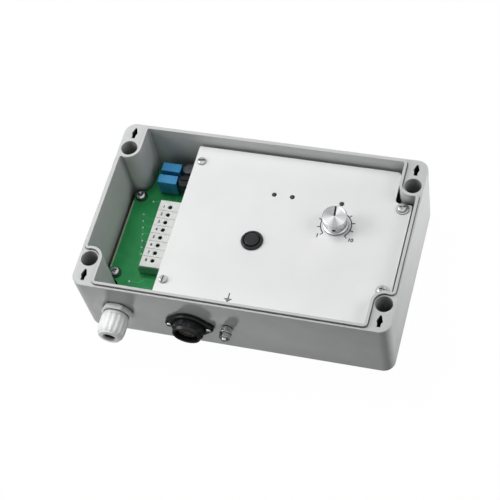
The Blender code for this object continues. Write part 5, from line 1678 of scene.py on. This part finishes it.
@dataclass
class SensitivityKnob(Assembly):
    """The potentiometer and the turned aluminium knob with its pointer and grub screw."""

    crown: float = 0.01005
    waist: float = 0.0094
    height: float = 0.014
    skirt: float = 0.0022
    recess: float = 0.0079
    shaft_bore: float = 0.0033
    bushing_bore: float = 0.0053
    bore_top: float = 0.0118
    recess_top: float = 0.0044
    bushing_clear: float = 0.0058
    chamfer: float = 0.0007
    dish: float = 0.0004
    pointer_width: float = 0.0016
    pointer_depth: float = 0.0005
    pointer_turn: float = 6.0
    grub_radius: float = 0.0013
    grub_height: float = 0.0066
    lift: float = 0.0006
    edge: float = 0.00018
    paint_gap: float = 0.00004

    def axis(self) -> Matrix:
        """Axes on the panel under the knob, turned to where the pointer rests.

        Returns:
            The matrix.
        """
        place = standing_on("potentiometer_nut", math.radians(self.pointer_turn))
        place.translation.z = BOX.panel_top
        return place

    def knob(self) -> Thing:
        """The knob, hollow below, with fine lathe steps on its crown.

        Returns:
            The object.
        """
        gap, bevel, high, crown = self.lift, self.chamfer, self.height, self.crown
        dish = high - self.dish
        profile = [
            (0.0, self.bore_top), (self.shaft_bore, self.bore_top), (self.shaft_bore, self.bushing_clear),
            (self.bushing_bore, self.bushing_clear), (self.bushing_bore, self.recess_top),
            (self.recess, self.recess_top), (self.recess, gap), (crown - bevel / 2, gap),
            (crown, gap + bevel / 2), (crown, self.skirt - bevel / 2), (self.waist, self.skirt),
            (self.waist, self.skirt + bevel), (crown, high - bevel), (crown - bevel, high),
            (crown - 2 * bevel, high), (crown - 2.6 * bevel, dish), (0.0, dish),
        ]
        turned = Forge().turned(softened(profile, self.edge, 3), 96)
        half = self.pointer_width / 2
        floor = self.height - self.dish - self.pointer_depth
        groove = Forge().box((-half, 0.0, floor), (half, self.crown + PAST, self.height + PAST))
        hole = self.grub_radius + TOUCH_GAP
        side = Matrix.Translation((0, 0, self.grub_height)) @ Matrix.Rotation(math.pi / 2, 4, "X")
        bore = Forge().rod(hole, self.shaft_bore - PAST / 2, self.crown + PAST, 24).moved(side)
        return turned.piece("knob_body", FINISH.knob, self.axis(), [(Op.CUT, groove), (Op.CUT, bore)])

    def pointer(self) -> Thing:
        """The black paint in the pointer groove.

        Returns:
            The object.
        """
        half, top = self.pointer_width / 2 - self.paint_gap, self.height - self.dish
        floor = top - self.pointer_depth
        paint = Forge().box((-half, 0.0001, floor - 0.0001), (half, self.crown - 0.0008, top - 0.0001))
        return paint.piece("knob_pointer", FINISH.ink, self.axis())

    def grub(self) -> Thing:
        """The grub screw with its hexagon socket.

        Returns:
            The object.
        """
        radius, end, tip = self.grub_radius, self.waist - 0.001, self.shaft_bore
        socket = hexagon(radius * 0.95)
        profile = [
            (0.0, tip), (radius - 0.0003, tip), (radius, tip + 0.0003), (radius, end - 0.0002),
            (radius - 0.0002, end), (socket, end), (socket, end - radius), (0.0, end - radius),
        ]
        side = Matrix.Translation((0, 0, self.grub_height)) @ Matrix.Rotation(math.pi / 2, 4, "X")
        return Forge().turned(profile, 36).piece("grub_screw", FINISH.dark, self.axis() @ side)

    def build(self) -> None:
        """Make the knob and the potentiometer's nut and washer, and dress what they hide."""
        self.show(self.knob(), "knob_aluminium", "sensitivity_knob", body=Body.KNOB)
        self.show(self.pointer(), "satin_black", body=Body.KNOB)
        self.show(self.grub(), "dark_steel", "knob_grub_screw", body=Body.KNOB)
        nut = Nut(flats=0.0125, hole=0.0100, height=0.0024)
        held = nut.piece("pot_nut", FINISH.zinc, standing_on("potentiometer_nut"))
        self.show(held, "zinc_steel", "potentiometer_nut")
        washer = Washer(outer=0.014, inner=0.0100, thickness=0.0008)
        ring = washer.piece("pot_washer", FINISH.zinc, standing_on("potentiometer_washer"))
        self.show(ring, "zinc_steel", "potentiometer_washer")
        self.dress("potentiometer_body", "zinc_steel", FINISH.zinc)
        self.dress("potentiometer_shaft", "zinc_steel", FINISH.zinc)


@dataclass
class TestButton(Assembly):
    """The push-button: bezel and barrel, ring nut and the domed cap."""

    bezel: float = 0.009
    barrel: float = 0.0078
    cap: float = 0.0059
    bezel_height: float = 0.0022
    proud: float = 0.0012
    cap_length: float = 0.0075
    travel: float = 0.0015
    barrel_length: float = 0.0165
    clearance: float = 0.0006
    bezel_slope: float = 0.0011
    mouth_slope: float = 0.0008
    edge: float = 0.0004
    dome: float = 0.0009
    tag_line: float = 0.0035
    tag: Spot = (0.0004, 0.0014, 0.005)

    def housing(self, place: Matrix) -> Thing:
        """Bezel and barrel with two solder tags.

        Args:
            place: Axes on the panel.

        Returns:
            The object.
        """
        drop = BOX.panel_bottom - BOX.panel_top - self.barrel_length
        bore = self.cap + TOUCH_GAP
        floor = self.bezel_height + self.proud - self.cap_length - self.travel - self.clearance
        high = self.bezel_height
        profile = [
            (0.0, drop), (self.barrel, drop), (self.barrel, TOUCH_GAP), (self.bezel, TOUCH_GAP),
            (self.bezel, high * 0.55), (self.bezel - self.bezel_slope, high), (bore + self.mouth_slope, high),
            (bore, high - self.mouth_slope), (bore, floor), (0.0, floor),
        ]
        thick, wide, long = self.tag
        tags = Forge()
        for x in (-self.tag_line, self.tag_line):
            tags.box((x - thick, -wide, drop - long), (x + thick, wide, drop + PAST))
        form = Forge().turned(softened(profile, self.edge, 4), 64)
        return form.piece("button_bezel", FINISH.black, place, [(Op.JOIN, tags)])

    def button_cap(self, place: Matrix) -> Thing:
        """The satin cap with a low dome.

        Args:
            place: Axes on the panel.

        Returns:
            The object.
        """
        top = self.bezel_height + self.proud
        low = top - self.cap_length
        dome = self.dome
        profile = [(0.0, low), (self.cap, low), (self.cap, top - dome - 0.0002)]
        for step in range(9):
            angle = math.radians(90 * step / 8)
            reach = self.cap * (1 - 0.06 * math.sin(angle)) * math.cos(angle) ** 0.8 if step < 8 else 0.0
            profile.append((reach, top - dome * (1 - math.sin(angle))))
        return Forge().turned(profile, 64).piece("button_cap", FINISH.satin, place)

    def build(self) -> None:
        """Make the housing, the ring nut and the cap."""
        place = standing_on("test_button_cap")
        place.translation.z = BOX.panel_top
        self.show(self.housing(place), "moulded_black", "test_button_housing")
        self.show(self.button_cap(place), "satin_black", "test_button_cap", body=Body.BUTTON)
        nut = Nut(flats=0.019, hole=0.0162, height=0.003)
        held = nut.piece("button_nut", FINISH.zinc, standing_on("test_button_nut"))
        self.show(held, "zinc_steel", "test_button_nut")


@dataclass
class IndicatorLeds(Assembly):
    """Three small domed LEDs that look out through the panel."""

    lens: float = 0.0015
    spacer: float = 0.0023
    spacer_height: float = 0.0042
    proud: float = 0.0005

    def build(self) -> None:
        """Make the three LEDs."""
        for word in LED_WORDS:
            node = f"led_{word}"
            place = standing_on(node)
            rise = BOX.panel_top + self.proud - place.translation.z
            shoulder, ledge = rise - self.lens, self.spacer_height
            profile = [(0.0, 0.0), (self.spacer, 0.0), (self.spacer, ledge), (self.lens, ledge)]
            for step in range(8):
                angle = math.radians(90 * step / 7)
                reach = self.lens * math.cos(angle) if step < 7 else 0.0
                profile.append((reach, shoulder + self.lens * math.sin(angle)))
            self.show(Forge().turned(profile, 32).piece(f"{node}_lens", FINISH.led, place), "led_tint", node)


@dataclass
class CableGland(Assembly):
    """The plastic cable gland, measured along its own axis out of the wall."""

    thread: float = 0.0078
    thread_length: float = 0.010
    bore: float = 0.0052
    flats: float = 0.0235
    hex_height: float = 0.0048
    sleeve: float = 0.0092
    sleeve_length: float = 0.0085
    nut_radius: float = 0.0114
    nut_length: float = 0.02053
    straight: float = 0.0125
    collar: float = 0.0103
    collar_length: float = 0.0024
    mouth: float = 0.0053
    lip: float = 0.0022
    nose: float = 0.0078
    ribs: int = 16
    rib_depth: float = 0.0005
    seal_outer: float = 0.0072
    seal_inner: float = 0.0049
    seal_edge: float = 0.0004
    locknut: float = 0.0045
    pitch: float = 0.0015
    thread_depth: float = 0.0008
    edge: float = 0.0003
    mouth_edge: float = 0.0006
    hex_round: float = 0.0008
    hex_corner: float = 1.06
    hex_foot: float = 0.99

    def body(self) -> Thing:
        """Hexagon, sleeve and a thread with real flanks.

        Returns:
            The object.
        """
        outer, flat, root = hexagon(self.flats), self.flats / 2, self.thread - self.thread_depth
        low, high, shoulder = TOUCH_GAP, TOUCH_GAP + self.hex_height, flat * self.hex_foot

        def turned_corner(angle: float) -> float:
            """Radius of the hexagon with its corners turned off."""
            return min(outer(angle), flat * self.hex_corner)

        profile: Profile = [(self.bore, -self.thread_length), (root, -self.thread_length)]
        turns = int(self.thread_length / self.pitch)
        for index in range(turns):
            level = -self.thread_length + self.edge + index * self.pitch
            profile += [(root, level), (self.thread, level + self.pitch / 2)]
        profile += [(root, low - self.edge), (root, low), (shoulder, low)]
        profile += [(turned_corner, low + self.edge), (outer, low + self.hex_round)]
        profile += [(outer, high - self.hex_round), (turned_corner, high - self.edge), (shoulder, high)]
        end = high + self.sleeve_length
        profile += [(self.sleeve, high), (self.sleeve, end), (self.bore, end)]
        place = GLAND_SEAT @ Matrix.Rotation(math.pi / 6, 4, "Z")
        return Forge().turned(profile, 72).piece("gland_hex", FINISH.gland, place)

    def cap_nut(self) -> Thing:
        """The domed cap nut with its ribs running out over the shoulder.

        Returns:
            The object.
        """
        low = TOUCH_GAP + self.hex_height + TOUCH_GAP
        high, full = low + self.nut_length, self.nut_radius
        valley = full - self.rib_depth
        grip_top = low + self.straight
        room_top = TOUCH_GAP + self.hex_height + self.sleeve_length + TOUCH_GAP
        inside, seal_room = self.sleeve + TOUCH_GAP, self.seal_outer + TOUCH_GAP
        collar_top = low + self.collar_length
        profile: Profile = [(inside, low), (self.collar - self.edge, low)]
        profile += [(self.collar, low + self.edge), (self.collar, collar_top)]
        profile += [(valley - 0.0004, collar_top + self.edge)]
        for share, level in ((0.5, 0.0006), (1.0, 0.0012)):
            grip = ribbed(valley + self.rib_depth * share, self.ribs, self.rib_depth * share)
            profile.append((grip, collar_top + level))
        fall = high - grip_top
        for step in range(11):
            angle = math.radians(9 * step)
            reach = self.nose + (full - self.nose) * math.cos(angle) ** 0.9 if step < 10 else self.nose
            level = grip_top + fall * math.sin(angle) * (1 if step == 10 else 0.985)
            if step < 6:
                profile.append((ribbed(reach, self.ribs, self.rib_depth), level))
            else:
                profile.append((reach - self.rib_depth * (step < 8), level))
        mouth, edge = self.mouth, self.mouth_edge
        profile += [(mouth + edge, high), (mouth, high - edge), (mouth, high - self.lip)]
        profile += [(seal_room, high - self.lip), (seal_room, room_top), (inside, room_top)]
        return Forge().turned(profile, 144).piece("gland_cap", FINISH.gland, GLAND_SEAT)

    def build(self) -> None:
        """Make the body, the cap nut, the seal and the locknut."""
        self.show(self.body(), "gland_grey", "gland_body")
        self.show(self.cap_nut(), "gland_grey", "gland_cap_nut")
        low = 2 * TOUCH_GAP + self.hex_height + self.sleeve_length
        high = 2 * TOUCH_GAP + self.hex_height + self.nut_length - self.lip - TOUCH_GAP
        ring = rectangle((self.seal_inner, low), (self.seal_outer, high))
        form = Forge().turned(softened(ring, self.seal_edge, 3, closed=True), 48)
        seal = form.piece("gland_rubber", FINISH.rubber, GLAND_SEAT)
        self.show(seal, "rubber_black", "gland_seal")
        place = GLAND_SEAT @ Matrix.Translation((0, 0, -BOX.wall - TOUCH_GAP - self.locknut))
        nut = Nut(self.flats, 2 * self.thread + 0.0006, self.locknut)
        self.show(nut.piece("gland_nut", FINISH.gland, place), "gland_grey", "gland_locknut")


@dataclass
class RoundConnector(Assembly):
    """The round panel connector: flanged shell, contact insert and two flange screws."""

    flange: float = 0.0155
    ear: float = 0.0041
    ear_spacing: float = 0.0163
    flange_height: float = 0.0034
    barrel: float = 0.0131
    barrel_length: float = 0.0056
    ribs: int = 8
    rib_depth: float = 0.0009
    neck: float = 0.0117
    length: float = 0.0125
    socket: float = 0.0096
    socket_floor: float = 0.003
    rear: float = 0.0107
    rear_length: float = 0.0075
    core: float = 0.0074
    core_height: float = 0.009
    collar: float = 0.0017
    contacts: int = 6
    contact_radius: float = 0.0011
    contact_circle: float = 0.0043
    contact_depth: float = 0.005
    screw_hole: float = 0.0015
    mouth_slope: float = 0.0005
    rib_share: float = 0.62
    key_half: float = 0.0009
    key_bite: float = 0.0012
    key_depth: float = 0.0035
    screw_turn: float = 0.4

    def shell(self) -> Thing:
        """Eared flange, ribbed barrel and socket.

        Returns:
            The object.
        """
        kept = convex_hull_2d(self.eared(0.0))
        top = TOUCH_GAP + self.flange_height
        rear_end = -BOX.wall - self.rear_length
        middle, barrel_top = TOUCH_GAP + self.flange_height / 2, top + self.barrel_length
        valley = self.barrel - self.rib_depth
        ribs = ribbed(self.barrel, self.ribs, self.rib_depth, self.rib_share)
        length, neck = self.length, self.neck
        body: Profile = [(0.0, rear_end), (self.rear, rear_end), (self.rear, middle)]
        body += [(valley, middle), (valley, top + 0.0004), (ribs, top + 0.001), (ribs, barrel_top - 0.0006)]
        body += [(valley, barrel_top), (neck + 0.0002, barrel_top + 0.0001), (neck, barrel_top + 0.0004)]
        body += [(neck, length - 0.0006), (neck - 0.00015, length - 0.0002), (neck - 0.0005, length)]
        body += [(0.0, length)]
        well, mouth = self.core + TOUCH_GAP, self.socket + self.mouth_slope
        bore = [
            (0.0, rear_end - PAST), (well, rear_end - PAST), (well, self.socket_floor),
            (self.socket, self.socket_floor), (self.socket, length - self.mouth_slope), (mouth, length),
            (mouth, length + PAST), (0.0, length + PAST),
        ]
        holes = Forge()
        for side in (-1, 1):
            holes.rod(self.screw_hole, -PAST, top + PAST, 24, (side * self.ear_spacing, 0))
        steps = [(Op.JOIN, Forge().turned(body, 96)), (Op.CUT, Forge().turned(bore, 72)), (Op.CUT, holes)]
        levels = (
            (0.0003, TOUCH_GAP), (0.0001, TOUCH_GAP + 0.0001), (0.0, TOUCH_GAP + 0.0003),
            (0.0, top - 0.0005), (0.00015, top - 0.00015), (0.0005, top),
        )
        rings = []
        for inset, level in levels:
            points = self.eared(inset)
            rings.append([(*points[index], level) for index in kept])
        return Forge().loft(rings).piece("connector_body", FINISH.black, CONNECTOR_SEAT, steps)

    def eared(self, inset: float) -> list[Point]:
        """Points round the flange and its two ears.

        Args:
            inset: How far they stand inside the full outline.

        Returns:
            The points, the flange's first.
        """
        points = arc((0, 0), self.flange - inset, 0, 360, 72)[:-1]
        for side in (-1, 1):
            points += arc((side * self.ear_spacing, 0), self.ear - inset, 0, 360, 36)[:-1]
        return points

    def insert(self) -> Thing:
        """The contact insert with a key and its sockets.

        Returns:
            The object.
        """
        low, collar = self.socket_floor + TOUCH_GAP, self.socket - TOUCH_GAP
        ledge = low + self.collar
        rear_end = -BOX.wall - self.rear_length + TOUCH_GAP
        profile = [
            (0.0, rear_end), (self.core, rear_end), (self.core, low), (collar, low), (collar, ledge),
            (self.core, ledge), (self.core, self.core_height), (0.0, self.core_height),
        ]
        floor, top = self.core_height - self.contact_depth, self.core_height + PAST
        holes = Forge()
        for centre in self.contact_spots():
            holes.rod(self.contact_radius, floor, top, 24, centre)
        key = Forge().box(
            (-self.key_half, self.core - self.key_bite, self.core_height - self.key_depth),
            (self.key_half, self.core + PAST, top),
        )
        turned = Forge().turned(softened(profile, 0.0002, 2), 72)
        return turned.piece("connector_core", FINISH.insert, CONNECTOR_SEAT, [(Op.CUT, holes), (Op.CUT, key)])

    def contact_spots(self) -> list[Point]:
        """Where the contacts stand on their circle."""
        return arc((0, 0), self.contact_circle, 0, 360, self.contacts)[:-1]

    def brass(self) -> Thing:
        """The tube contacts in the insert.

        Returns:
            All contacts as one piece.
        """
        tubes = Forge()
        floor, top = self.core_height - self.contact_depth, self.core_height - 0.0006
        outer, inner = self.contact_radius - 0.0001, self.contact_radius - 0.0004
        bottom = floor + 0.001
        tube = [(0.0, floor), (outer, floor), (outer, top), (inner, top), (inner, bottom), (0.0, bottom)]
        for centre in self.contact_spots():
            tubes.turned(tube, 20, centre)
        return tubes.piece("connector_contacts", FINISH.brass, CONNECTOR_SEAT)

    def build(self) -> None:
        """Make the shell, the insert, its contacts and the flange screws."""
        self.show(self.shell(), "moulded_black", "connector_shell")
        self.show(self.insert(), "insert_grey", "connector_insert")
        self.show(self.brass(), "zinc_steel")
        seat = 2 * TOUCH_GAP + self.flange_height
        screw = Screw(head=0.0052, height=0.0018, shank=0.0024, length=seat + 0.0026, slot=0.0008)
        for word, side in zip(ENDS, (-1, 1)):
            place = CONNECTOR_SEAT @ Matrix.Translation((side * self.ear_spacing, 0, seat))
            place = place @ Matrix.Rotation(self.screw_turn, 4, "Z")
            node = f"connector_screw_{word}"
            self.show(screw.piece(f"{node}_head", FINISH.zinc, place), "zinc_steel", node)


@dataclass
class EarthStud(Assembly):
    """The earth stud: a threaded bolt through the wall with two nuts and a washer."""

    radius: float = 0.0024
    length: float = 0.0118
    head: float = 0.0035
    flats: float = 0.008
    nut: float = 0.004
    washer: float = 0.010
    washer_thickness: float = 0.001
    pitch: float = 0.0008
    thread_depth: float = 0.0004
    tip_edge: float = 0.0004
    tip_length: float = 0.0014
    head_edge: float = 0.0005
    clamp_turn: float = math.radians(15)

    def stud(self) -> Thing:
        """The bolt with its thread in the open.

        Returns:
            The object.
        """
        outer, flat = hexagon(self.flats), self.flats / 2 - self.head_edge / 2
        top = -BOX.wall - TOUCH_GAP
        root = self.radius - self.thread_depth
        profile: Profile = [(0.0, top - self.head), (flat, top - self.head)]
        profile += [(outer, top - self.head + self.head_edge), (outer, top)]
        profile += [(self.radius, top), (self.radius, 0.0)]
        level = 0.0
        while level < self.length - self.tip_length:
            profile += [(root, level + self.pitch / 2), (self.radius, level + self.pitch)]
            level += self.pitch
        edge, tip = self.tip_edge, self.length
        profile += [(root, tip - edge), (root - edge, tip), (0.0, tip)]
        return Forge().turned(profile, 48).piece("earth_bolt", FINISH.zinc, EARTH_SEAT)

    def build(self) -> None:
        """Make the bolt, the lock nut, the washer and the clamp nut."""
        self.show(self.stud(), "zinc_steel", "earth_stud")
        hole = 2 * (self.radius + TOUCH_GAP)
        nut = Nut(self.flats, hole, self.nut)
        washer = Washer(self.washer, hole, self.washer_thickness)
        level = TOUCH_GAP
        for name, node, form, height, turn in (
            ("lock_nut", "earth_lock_nut", nut, self.nut, 0.0),
            ("stud_washer", "earth_washer", washer, self.washer_thickness, 0.0),
            ("clamp_nut", "earth_clamp_nut", nut, self.nut, self.clamp_turn),
        ):
            place = EARTH_SEAT @ Matrix.Translation((0, 0, level)) @ Matrix.Rotation(turn, 4, "Z")
            self.show(form.piece(name, FINISH.zinc, place), "zinc_steel", node)
            level += height + TOUCH_GAP


@dataclass(frozen=True)
class Lamp:
    """One soft studio lamp, round or a strip along X."""

    name: str
    spot: Spot
    aim: Spot
    size: float
    power: float
    depth: float = 0.0
    mirrored: bool = True

    def hang(self) -> Thing:
        """Hang the lamp and point it.

        Returns:
            The lamp.
        """
        data = bpy.data.lights.new(self.name, "AREA")
        data.shape = "RECTANGLE" if self.depth else "DISK"
        data.size = self.size
        if self.depth:
            data.size_y = self.depth
        data.energy = self.power
        lamp = bpy.data.objects.new(self.name, data)
        bpy.context.collection.objects.link(lamp)
        lamp.location = self.spot
        lamp.rotation_mode = "QUATERNION"
        lamp.rotation_quaternion = (Vector(self.aim) - Vector(self.spot)).to_track_quat("-Z", "Y")
        lamp.visible_camera = False
        lamp.visible_glossy = self.mirrored
        return lamp


@dataclass
class Studio:
    """Pale floor, soft lamps, a white background and the photograph's camera."""

    lens: float = 108.06
    spot: Spot = (0.30586, -0.59636, 1.06409)
    right: Spot = (0.95695, 0.25243, -0.14326)
    up: Spot = (-0.14297, 0.83950, 0.52422)
    back: Spot = (0.25259, -0.48117, 0.83945)
    floor_size: float = 6.0
    floor_span: Point = (-0.02, -0.0004)
    floor_grey: float = 0.2
    floor_roughness: float = 0.9
    floor_shadow: float = 0.12
    floor_glow: float = 1.11
    ambient: float = 0.12

    def seen(self, wires: Wiring, others: Sequence[str] = ()) -> Socket:
        """A factor that is 1 for camera rays and some others.

        Args:
            wires: Node tree that gets the nodes.
            others: Outputs of the light path that count too.

        Returns:
            The factor's socket.
        """
        path = wires.add("ShaderNodeLightPath")
        total = path.outputs["Is Camera Ray"]
        for name in others:
            most = wires.add("ShaderNodeMath")
            most.operation = "MAXIMUM"
            wires.join(total, most.inputs[0])
            wires.join(path.outputs[name], most.inputs[1])
            total = most.outputs[0]
        return total

    def world(self) -> None:
        """Soft even light that the camera sees as plain white."""
        world = bpy.data.worlds.new("studio")
        bpy.context.scene.world = world
        wires = Wiring(world)
        lit = wires.tree.nodes["Background"]
        lit.inputs["Color"].default_value = WHITE
        lit.inputs["Strength"].default_value = self.ambient
        white = wires.add("ShaderNodeBackground")
        white.inputs["Color"].default_value = WHITE
        mix = wires.add("ShaderNodeMixShader")
        wires.join(self.seen(wires, ("Is Glossy Ray", "Is Transmission Ray")), mix.inputs[0])
        wires.join(lit.outputs[0], mix.inputs[1])
        wires.join(white.outputs[0], mix.inputs[2])
        wires.join(mix.outputs[0], wires.tree.nodes["World Output"].inputs["Surface"])

    def floor(self) -> None:
        """A pale floor that shows a faint shadow of the box."""
        half, (low, high) = self.floor_size / 2, self.floor_span
        mesh = Forge().box((-half, -half, low), (half, half, high)).mesh("studio_floor")
        floor = bpy.data.objects.new("studio_floor", mesh)
        bpy.context.collection.objects.link(floor)
        material = bpy.data.materials.new("pale floor")
        wires = Wiring(material)
        matt = wires.tree.nodes["Principled BSDF"]
        matt.inputs["Base Color"].default_value = (*[self.floor_grey] * 3, 1.0)
        matt.inputs["Roughness"].default_value = self.floor_roughness
        glow = wires.add("ShaderNodeEmission")
        glow.inputs["Strength"].default_value = self.floor_glow
        share = wires.add("ShaderNodeMath")
        share.operation = "MULTIPLY"
        share.inputs[1].default_value = 1 - self.floor_shadow
        mix = wires.add("ShaderNodeMixShader")
        wires.join(self.seen(wires), share.inputs[0])
        wires.join(share.outputs[0], mix.inputs[0])
        wires.join(matt.outputs[0], mix.inputs[1])
        wires.join(glow.outputs[0], mix.inputs[2])
        wires.join(mix.outputs[0], wires.tree.nodes["Material Output"].inputs["Surface"])
        mesh.materials.append(material)
        floor.visible_shadow = False

    def camera(self) -> None:
        """The camera that the photograph was fitted with."""
        data = bpy.data.cameras.new("camera")
        data.lens = self.lens
        data.clip_start = 0.01
        camera = bpy.data.objects.new("camera", data)
        bpy.context.collection.objects.link(camera)
        axes = Matrix((self.right, self.up, self.back)).transposed().to_4x4()
        camera.matrix_world = Matrix.Translation(self.spot) @ axes
        bpy.context.scene.camera = camera

    def build(self) -> None:
        """Set up the whole studio."""
        bpy.context.scene.view_settings.view_transform = "Standard"
        self.world()
        self.floor()
        for lamp in (
            Lamp("overhead", (-0.35, 0.3, 1.1), (0, 0, 0.05), 0.8, 7.0, mirrored=False),
            Lamp("left", (-0.65, -0.1, 0.45), (0, 0, 0.06), 0.5, 2.8),
            Lamp("right", (0.8, 0.1, 0.7), (0, 0, 0.05), 0.6, 2.6, mirrored=False),
            Lamp("right floor", (0.38, 0.12, 0.035), (0.13, 0.03, 0.035), 0.06, 0.55, mirrored=False),
            Lamp("front floor", (-0.02, -0.16, 0.002), (-0.02, -0.1599, 1.0), 0.3, 0.016, 0.05, False),
            Lamp("light table", (-0.24, -0.36, -0.455), (-0.05, -0.08, 0.035), 0.07, 1.75, mirrored=False),
        ):
            lamp.hang()
        self.camera()


def main() -> None:
    """Build every sub-assembly, report its pieces and set up the studio."""
    logging.basicConfig(level=logging.INFO, format="%(name)s: %(message)s")
    assemblies = (
        Enclosure(), CoverPanel(), MainBoard(), TerminalStrip(), BoardComponents(), SensitivityKnob(),
        TestButton(), IndicatorLeds(), CableGland(), RoundConnector(), EarthStud(),
    )
    for assembly in assemblies:
        assembly.build()
        for piece in assembly.pieces:
            LOG.info("%s: %s, %d faces", type(assembly).__name__, piece.name, len(piece.data.polygons))
    Studio().build()


if __name__ == "__main__":
    main()
